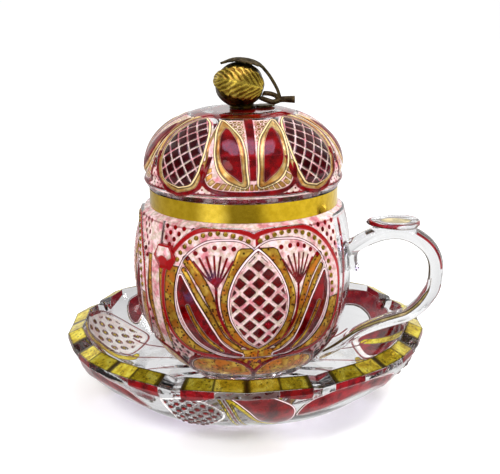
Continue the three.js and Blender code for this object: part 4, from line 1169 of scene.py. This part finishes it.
def jewel_mesh(angle):
    """A hexagonal cut jewel with a flat table, lying on the barrel."""
    seat = float(barrel_radius(JEWEL_HEIGHT))
    corners = np.radians(np.arange(6) * 60)
    out = around(angle + 90, 1.0, 0.0)
    side = around(angle + 180, 1.0, 0.0)
    upward = np.outer(np.sin(corners) / math.sin(math.radians(60)), (0, 0, JEWEL_HALF_HEIGHT))
    face = np.outer(np.cos(corners), side * JEWEL_HALF_WIDTH) + upward
    middle = np.array([0, 0, BOWL_BASE + JEWEL_HEIGHT])
    rings = [middle + out * (seat + off) + face * share for share, off in JEWEL_STEPS]
    ruby = np.repeat(JEWEL_RUBY, len(corners), 1)
    ruby[2:] += np.sin(corners)
    layers = {layer: np.full(ruby.shape, OFF) for layer in BOWL_LAYERS}
    layers |= {"ruby": ruby, "white": -ruby}
    return ring_body("bowl_jewel", rings, layers, sharp_angle=15)


# Handle: a strap with a tongue below the upper root and a thumb rest, joined into one skin.

HANDLE_LINE = [(48, 69), (60, 76.2), (70, 79), (78, 77.8), (85, 73.4), (88.7, 68), (89.85, 62), (89.1, 53.6)]
HANDLE_LINE += [(86.5, 48.3), (83, 43.5), (78, 39.2), (72.7, 36.9), (62.4, 32.9), (53.8, 28.3), (45, 21.6)]
HANDLE_LINE += [(38, 17.2), (34.2, 14.9)]
TONGUE_LINE = [(56, 74.5), (51.8, 69.5), (51.8, 63), (53.6, 59.5)]
REST_STEPS = ((0.9, -0.6), (1.0, 0.2), (1.0, 1.2), (0.93, 2.0), (0.86, 2.1), (0.55, 1.5))
REST_HEIGHT = 82.4
REST_MIDDLE = 71.0
REST_HALF_LENGTH = 12.5
REST_HALF_WIDTH = 11.0
SECTION_POWER = 2.6
SKIN_SIZE = 0.7
SKIN_SMOOTHING = 5
HANDLE_LENGTH = 150.0
PAINT_START = 2.6


def rod_rings(line, steps, section, size_at):
    """Rings round a smooth line in the XZ plane, from a section across and along the line's normal."""
    line = stroke(line, steps)
    tangents = unit(np.gradient(line, axis=0))
    rings = []
    for place, tangent, share in zip(line, tangents, np.linspace(0, 1, len(line))):
        across, off = section * size_at(share)
        rings.append(np.stack([place[0] - tangent[1] * off, across, place[1] + tangent[0] * off], 1))
    return rings


def strap(name, line, width_at, thickness_at, corners=24):
    """A rod with a rounded oblong section, wider than it is thick."""
    turns = np.arange(corners) * 2 * math.pi / corners
    circle = np.array([np.cos(turns), np.sin(turns)])
    section = np.sign(circle) * np.abs(circle) ** (2 / SECTION_POWER)

    def half_sizes(share):
        return np.array([[width_at(share) / 2], [thickness_at(share) / 2]])

    return ring_body(name, rod_rings(line, 8, section, half_sizes))


def handle_skin():
    """The strap, the tongue and the thumb rest as one smooth mesh."""

    def taper(share):
        return max(0.0, (share - 0.5) / 0.5)

    turns = np.radians(np.arange(0, 360, 7.5))
    rest_rings = []
    for share, level in REST_STEPS:
        x = REST_MIDDLE + REST_HALF_LENGTH * share * np.cos(turns) - 1.2 * np.cos(2 * turns)
        y = REST_HALF_WIDTH * share * np.sin(turns) * (1 + 0.12 * np.cos(turns))
        rest_rings.append(np.stack([x, y, np.full(len(turns), REST_HEIGHT + level)], 1))
    meshes = [
        strap("strap", HANDLE_LINE, lambda s: 12 - 5 * taper(s), lambda s: 7 - 3 * taper(s)),
        strap("tongue", TONGUE_LINE, lambda s: 11 - 4 * s * s, lambda s: 6 - 2.5 * s, 16),
        ring_body("rest", rest_rings),
    ]
    main, *others = [new_object(mesh.name, mesh) for mesh in meshes]
    changes = [("BOOLEAN", {"operation": "UNION", "object": other}) for other in others]
    changes.append(("REMESH", {"mode": "VOXEL", "voxel_size": SKIN_SIZE * MM}))
    changes.append(("SMOOTH", {"iterations": SKIN_SMOOTHING}))
    for kind, settings in changes:
        modifier = main.modifiers.new(kind.lower(), kind)
        for key, value in settings.items():
            setattr(modifier, key, value)
    bpy.context.view_layer.update()
    mesh = bpy.data.meshes.new_from_object(main.evaluated_get(bpy.context.evaluated_depsgraph_get()))
    mesh.name = "handle_glass"
    for piece in (main, *others):
        bpy.data.objects.remove(piece)
    return mesh


def handle_mesh():
    """The handle with its painted lines."""
    mesh = handle_skin()
    places = np.zeros(len(mesh.vertices) * 3)
    mesh.vertices.foreach_get("co", places)
    x, y, z = places.reshape(-1, 3).T / MM
    offset, share = line_place(np.stack([x, z], 1), stroke(HANDLE_LINE, 8))
    off_rest = (1 - step(82.0 - z, 0.3)) * 20
    rest_line = band(np.hypot((x - 70.5) / 11.6, y / 10.2) - 1.0, 0.07) * 10 + off_rest
    rest_gold = (np.hypot((x - REST_MIDDLE) / 7.5, y / 5) - 1) * 5 + off_rest

    def side_line(centre, half_width, start, end):
        """A line on both sides of the strap, from one share of its length to another."""
        stretch = both(start - share, share - end) * HANDLE_LENGTH
        return both(band(offset - centre, half_width), PAINT_START - np.abs(y), stretch)

    ruby = either(rest_line, side_line(2.5, 0.5, 0.2, 0.37), side_line(2.9, 0.4, 0.42, 0.86))
    olive_half = 0.8 * np.clip((share - 0.4) / 0.1, 0.2, 1)
    gold = either(rest_gold, side_line(-1.9, olive_half, 0.4, 0.93), side_line(-3.0, 0.5, 0.05, 0.41))
    finish_mesh(mesh, {"ruby": ruby, "gold": gold, "white": np.full(len(x), OFF)})
    mesh.materials.clear()
    return mesh


# Finial: the fruit, its two leaves and the stalk.

FRUIT_CENTRE = np.array([-1.2, 0, 10.9])
FRUIT_RADII = np.array([11.3, 11.3, 10.4])
FRUIT_FOOT = ((3.0, 0.3), (6.0, 0.3), (6.0, 1.3), (5.2, 2.2), (4.5, 2.7))
FRUIT_COLUMNS = 72
FRUIT_RIBS = 9
FRUIT_RIB_RISE = 0.18


def rotation(degrees, axis):
    """The matrix of a turn about the X, Y or Z axis, 0 to 2."""
    turn = math.radians(degrees)
    first, second = (axis + 1) % 3, (axis + 2) % 3
    matrix = np.eye(3)
    matrix[first, first] = matrix[second, second] = math.cos(turn)
    matrix[first, second] = -math.sin(turn)
    matrix[second, first] = math.sin(turn)
    return matrix


def finial_body(name, rings, layers=None):
    """A body from rings in the finial's own frame, brought to the top of the lid."""
    return ring_body(name, np.array(rings) @ rotation(FINIAL_TURN, 2).T + (0, 0, FINIAL_BASE), layers)


def fruit_skin(direction, off):
    """Places on the fruit in the given directions, or off its skin."""
    return FRUIT_CENTRE + direction * (FRUIT_RADII + np.asarray(off)[..., None])


def fruit_mesh():
    """The fruit with faint ribs, on a turned foot."""
    angles = np.arange(FRUIT_COLUMNS) * 360 / FRUIT_COLUMNS
    rings = [around(angles, radius, height) for radius, height in FRUIT_FOOT]
    for tilt in np.linspace(-66, 86, 40):
        ring_radius = math.cos(math.radians(tilt))
        bumps = FRUIT_RIB_RISE * np.sin(FRUIT_RIBS * np.radians(angles) + tilt * 0.15) * ring_radius
        rings.append(fruit_skin(around(angles, ring_radius, math.sin(math.radians(tilt))), bumps - 0.1))
    return finial_body("fruit", rings)


LEAF_TEETH = 7
LEAF_VEINS = 9
VEIN_SLANT = 2.6
TOOTH_DEPTH = 0.16
LEAF_THICKNESS = 0.9
VEIN_DEPTH = 0.5


def leaf_mesh(name, point_at, stations=64, across=24):
    """A chased leaf with a toothed edge, a middle rib and side veins."""
    rings, ridges = [], []
    for station in np.linspace(0.02, 0.99, stations):
        swell = math.sin(math.pi * station**0.75) ** 0.7
        spread = swell * (1 - TOOTH_DEPTH * (station * LEAF_TEETH % 1)) + 0.04
        top, bottom, shown = [], [], []
        for place in np.linspace(-1, 1, across + 1):
            slanted = station * LEAF_VEINS - abs(place) * VEIN_SLANT
            veins = 0.5 + 0.5 * math.cos(2 * math.pi * slanted)
            rib = math.exp(-((place / 0.09) ** 2))
            lift = LEAF_THICKNESS - VEIN_DEPTH * (1 - veins) * (1 - rib) * min(1, (1 - abs(place)) * 4)
            top.append(point_at(station, spread * place, lift))
            bottom.append(point_at(station, spread * place, 0.0))
            shown.append(max(veins**2, rib))
        rings.append(top + bottom[::-1])
        ridges.append(shown + [0.0] * len(bottom))
    return finial_body(name, rings, {"vein": ridges})


FRONT_LEAF_TURN = rotation(-12, 0) @ rotation(14, 1)
FRONT_LEAF_START = 26.0
FRONT_LEAF_SPREAD = 144.0
FRONT_LEAF_LIFT = 40.0
TOP_LEAF = Path(stroke([(9.8, 17.9), (7.2, 20.3), (2.6, 22.0), (-3.6, 22.3), (-9.8, 20.1)], 12))
TOP_LEAF_HALF_WIDTH = 6.2
TOP_LEAF_DROOP = 0.22
STALK_LINE = [(9.2, 18.9), (12.6, 14.6), (15.8, 9.0), (17.2, 4.9)]
STALK_RADIUS = 0.75
STALK_CORNERS = 14


def front_leaf_point(share, place, height):
    """A place on the front leaf, which lies on the skin of the fruit."""
    along = FRONT_LEAF_START + FRONT_LEAF_SPREAD * share
    lift = math.radians(FRONT_LEAF_LIFT * place)
    direction = around(along + 90, math.cos(lift), math.sin(lift)) * (1, -1, 1)
    return fruit_skin(FRONT_LEAF_TURN @ direction, 0.3 + height)


def top_leaf_point(share, place, height):
    """A place on the top leaf, which droops to both sides of its rib."""
    along = share * TOP_LEAF.length
    droop = TOP_LEAF_DROOP * TOP_LEAF_HALF_WIDTH * place * place
    x, z = TOP_LEAF.at(along) + TOP_LEAF.outward(along, 0.5) * (height - droop)
    return np.array([x, TOP_LEAF_HALF_WIDTH * place, z])


def stalk_mesh():
    """The stalk of the top leaf, a plain round rod."""
    turns = np.arange(STALK_CORNERS) * 2 * math.pi / STALK_CORNERS
    section = np.array([np.sin(turns), np.cos(turns)])
    return finial_body("top_leaf_stalk", rod_rings(STALK_LINE, 10, section, lambda share: STALK_RADIUS))


# Materials and pieces, put together.

bowl_material = cased_glass(
    "cased_glass", PANEL_GOLD, PANEL_WHITE_AND_PINK_REFLECTION, ("arc", "oval", "lancet"), ("square",), night=0.35, gloss=0.15
)
lid_look = {"night": 0.85, "stipple": 0.3, "gold_edges": 0.5, "gloss": 0.3, "thread_tone": THREAD_GOLD}
lid_material = cased_glass("lid_glass", LID_GOLD, PANEL_WHITE_AND_PINK_REFLECTION, ("oval", "petal"), ("square",), **lid_look)
dish_look = {"stipple": 0.5, "metal": 0.97, "gloss": 0.25, "milk_range": (0.85, 1.0)}
dish_material = cased_glass("dish_glass", RIM_GOLD, DISH_WHITE, ("tear",), ("stud",), **dish_look)
clear_material = cased_glass("clear_glass", OLIVE_GOLD, DISH_WHITE, stipple=0.2, metal=0.2)
neck_gold = bronze("neck_gilding", linear(214, 176, 34), linear(236, 198, 50), 0.14, 1.0, 0.03)
gilt_dots = bronze("gilt_dots", linear(120, 92, 24), linear(206, 170, 60), 0.3)
fruit_metal = bronze("gilt_bronze", linear(26, 18, 6), linear(112, 90, 24), 0.36)
leaf_metal = bronze("bright_gilt", linear(108, 78, 10), linear(255, 224, 90), 0.3, 0.9, 0.2, True)
dark_metal = bronze("dark_bronze", linear(58, 48, 28), linear(128, 112, 70), 0.5)
brass = bronze("plain_brass", linear(150, 124, 62), linear(214, 184, 110), 0.35)

add_piece("bowl_glass", bowl_mesh(), bowl_material, "cup", "bowl")
add_piece("lid_glass", lid_mesh(), lid_material, "cover", "lid")
add_piece("stand_glass", dish_mesh(), dish_material, "stand", "saucer")
add_piece("handle_glass", handle_mesh(), clear_material, "cup", "handle")
add_piece("neck_gilding", neck_band_mesh(), neck_gold, "cup")
add_piece("bowl_gilt_dots", band_dots(), gilt_dots, "cup")
add_piece("bowl_jewel_left", jewel_mesh(JEWEL_ANGLE), bowl_material, "cup")
add_piece("bowl_jewel_right", jewel_mesh(-JEWEL_ANGLE), bowl_material, "cup")
add_piece("fruit", fruit_mesh(), fruit_metal, "cover", "finial_fruit")
front_leaf = leaf_mesh("front_leaf", front_leaf_point)
add_piece("front_leaf", front_leaf, leaf_metal, "cover", "finial_front_leaf")
top_leaf = leaf_mesh("top_leaf", top_leaf_point, 48, 20)
add_piece("top_leaf", top_leaf, dark_metal, "cover", "finial_top_leaf")
add_piece("top_leaf_stalk", stalk_mesh(), dark_metal, "cover")

for node, metal, slot in (
    ("finial_base_leaf", dark_metal, "dark_bronze"),
    ("finial_twig", dark_metal, "dark_bronze"),
    ("finial_stud", brass, "plain_brass"),
    ("finial_washer", brass, "plain_brass"),
    ("finial_nut", brass, "plain_brass"),
):
    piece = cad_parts[node]
    piece.data.materials.clear()
    piece.data.materials.append(metal)

# Camera, fitted to the rings of stand, cup and lid in the photograph. Its turns are in radians.

CAMERA_TURN = math.radians(10)
CAMERA_PITCH = math.radians(15.05)
CAMERA_ROLL = math.radians(0.7)
CAMERA_EYE = Vector((80.8, -442.7, 194.6)) * MM
PICTURE_WIDTH = 500
FOCAL_PIXELS = 981.0
SENSOR = 36.0
RIGHT = Vector((math.cos(CAMERA_TURN), math.sin(CAMERA_TURN), 0))
AHEAD = Vector((-math.sin(CAMERA_TURN), math.cos(CAMERA_TURN), 0))

camera_data = bpy.data.cameras.new("camera")
camera_data.sensor_width = SENSOR
camera_data.lens = SENSOR * FOCAL_PIXELS / PICTURE_WIDTH
camera = new_object("camera", camera_data)
forward = AHEAD * math.cos(CAMERA_PITCH) - Vector((0, 0, math.sin(CAMERA_PITCH)))
basis = Matrix((RIGHT, RIGHT.cross(forward), -forward)).transposed()
roll = Matrix.Rotation(-CAMERA_ROLL, 3, "Z")
camera.matrix_world = Matrix.Translation(CAMERA_EYE) @ (basis @ roll).to_4x4()
bpy.context.scene.camera = camera

# Floor: white in view. Seen in reflections it glows, with darker and tinted parts that are painted
# reflections on the glass and gilding, and a painted highlight patch.

FLOOR_HALF = 30.0
floor_mesh = bpy.data.meshes.new("floor")
floor_corners = [(x * FLOOR_HALF, y * FLOOR_HALF, 0) for x, y in ((-1, -1), (1, -1), (1, 1), (-1, 1))]
floor_mesh.from_pydata(floor_corners, [], [(0, 1, 2, 3)])
floor = new_object("floor", floor_mesh)
floor_material, floor_tree, floor_shader = new_material("floor")
floor_look = {"Base Color": (0.9, 0.9, 0.9, 1), "Roughness": 0.9, "Specular IOR Level": 0.0}
floor_look |= {"Emission Color": (1, 1, 1, 1), "Emission Strength": 0.16}
set_inputs(floor_tree, floor_shader, floor_look)
floor_mesh.materials.append(floor_material)
floor_place = add_node(floor_tree, "ShaderNodeNewGeometry").outputs["Position"]


def near(centre, radius, soft):
    """1 within a radius of a place on the floor, 0 beyond a soft edge."""
    spot = tuple(RIGHT * centre[0] + AHEAD * centre[1])
    gap = add_node(floor_tree, "ShaderNodeVectorMath", {0: floor_place, 1: spot}, operation="DISTANCE")
    return ramp(floor_tree, gap.outputs["Value"], radius, radius + soft, 1.0, 0.0)


# Darker zones that glow only in reflections: painted dark reflections on the gilding and the glass.
front_shade = near((0.0, -0.17), 0.19, 0.08)
far_shade = near((-0.02, -0.42), 0.13, 0.12)
dark_floor = math_node(floor_tree, "MAXIMUM", front_shade, far_shade)
dark_floor = minus(floor_tree, dark_floor, near((0.0, 0.0), 0.09, 0.02))
on_right = ramp(floor_tree, dot_product(floor_tree, floor_place, RIGHT), -0.2, 0.15)
mirrored = mix(floor_tree, on_right, (0.5, 0.49, 0.5, 1), (0.95, 0.95, 0.95, 1))
mirrored = mix(floor_tree, dark_floor, mirrored, (0.28, 0.27, 0.28, 1))
# A bright bluish glowing patch, seen only in reflections: a painted highlight on the neck's gilding.
mirrored = mix(floor_tree, near((-0.25, -0.36), 0.05, 0.12), mirrored, (1.4, 1.5, 3.4, 1))
mirror_view = add_node(floor_tree, "ShaderNodeEmission", {"Color": mirrored}).outputs[0]
glossy = add_node(floor_tree, "ShaderNodeLightPath").outputs["Is Glossy Ray"]
views = {0: glossy, 1: floor_shader.outputs[0], 2: mirror_view}
floor_view = add_node(floor_tree, "ShaderNodeMixShader", views).outputs[0]
set_inputs(floor_tree, floor_tree.nodes["Material Output"], {"Surface": floor_view})

# Lights, and the room that shows in the glass.


def area_light(name, place, target, size, power):
    """A round light that lights the piece without showing in its reflections."""
    data = bpy.data.lights.new(name, "AREA")
    data.shape = "DISK"
    data.size = size
    data.energy = power
    light = new_object(name, data)
    light.rotation_mode = "QUATERNION"
    light.rotation_quaternion = (Vector(target) - Vector(place)).normalized().to_track_quat("-Z", "Y")
    light.location = place
    light.visible_glossy = False


area_light("key_light", (0.55, 0.15, 0.9), (0, 0, 0.05), 0.5, 9.0)
area_light("front_light", (-0.25, -0.7, 0.75), (0, 0, 0.08), 0.35, 5.0)

world = bpy.data.worlds.new("studio")
bpy.context.scene.world = world
world.use_nodes = True
world_tree = world.node_tree
world_tree.nodes.clear()
ray_direction = add_node(world_tree, "ShaderNodeTexCoord").outputs["Generated"]
ray_height = add_node(world_tree, "ShaderNodeSeparateXYZ", {0: ray_direction}).outputs["Z"]


def lean(target):
    """How far a ray leans towards a direction, from -1 to 1."""
    return dot_product(world_tree, ray_direction, target.normalized())


def overlap(share, low, high):
    """A share, kept where the ray's height passes from low to high."""
    return times(world_tree, share, ramp(world_tree, ray_height, low, high))


backdrop = overlap(ramp(world_tree, lean(AHEAD), 0.0, 0.35), 0.8, 0.5)
card = overlap(ramp(world_tree, math_node(world_tree, "ABSOLUTE", lean(RIGHT)), 0.8, 0.92), 0.7, 0.5)
window = overlap(ramp(world_tree, lean(AHEAD), 0.08, -0.1), 0.82, 0.86)
softbox = ramp(world_tree, lean(Vector((0, 0, 0.35)) - AHEAD * 0.8 - RIGHT * 0.6), 0.95, 0.965)
studio = mix(world_tree, backdrop, (0.22, 0.22, 0.24, 1), (1, 1, 1, 1))
for share, tone in (
    (card, (0.06, 0.06, 0.065, 1)),
    (window, (3.6, 3.0, 4.6, 1)),
    (softbox, (2.0, 2.0, 2.1, 1)),
):
    studio = mix(world_tree, share, studio, tone)
rays = add_node(world_tree, "ShaderNodeLightPath").outputs
bent = math_node(world_tree, "MAXIMUM", rays["Is Glossy Ray"], rays["Is Transmission Ray"])
seen = mix(world_tree, bent, (0.95, 0.95, 0.95, 1), studio)
seen = mix(world_tree, rays["Is Camera Ray"], seen, (1, 1, 1, 1))
background = add_node(world_tree, "ShaderNodeBackground", {"Color": seen, "Strength": 1.0})
add_node(world_tree, "ShaderNodeOutputWorld", {"Surface": background.outputs[0]})

bpy.context.scene.view_settings.view_transform = "Standard"
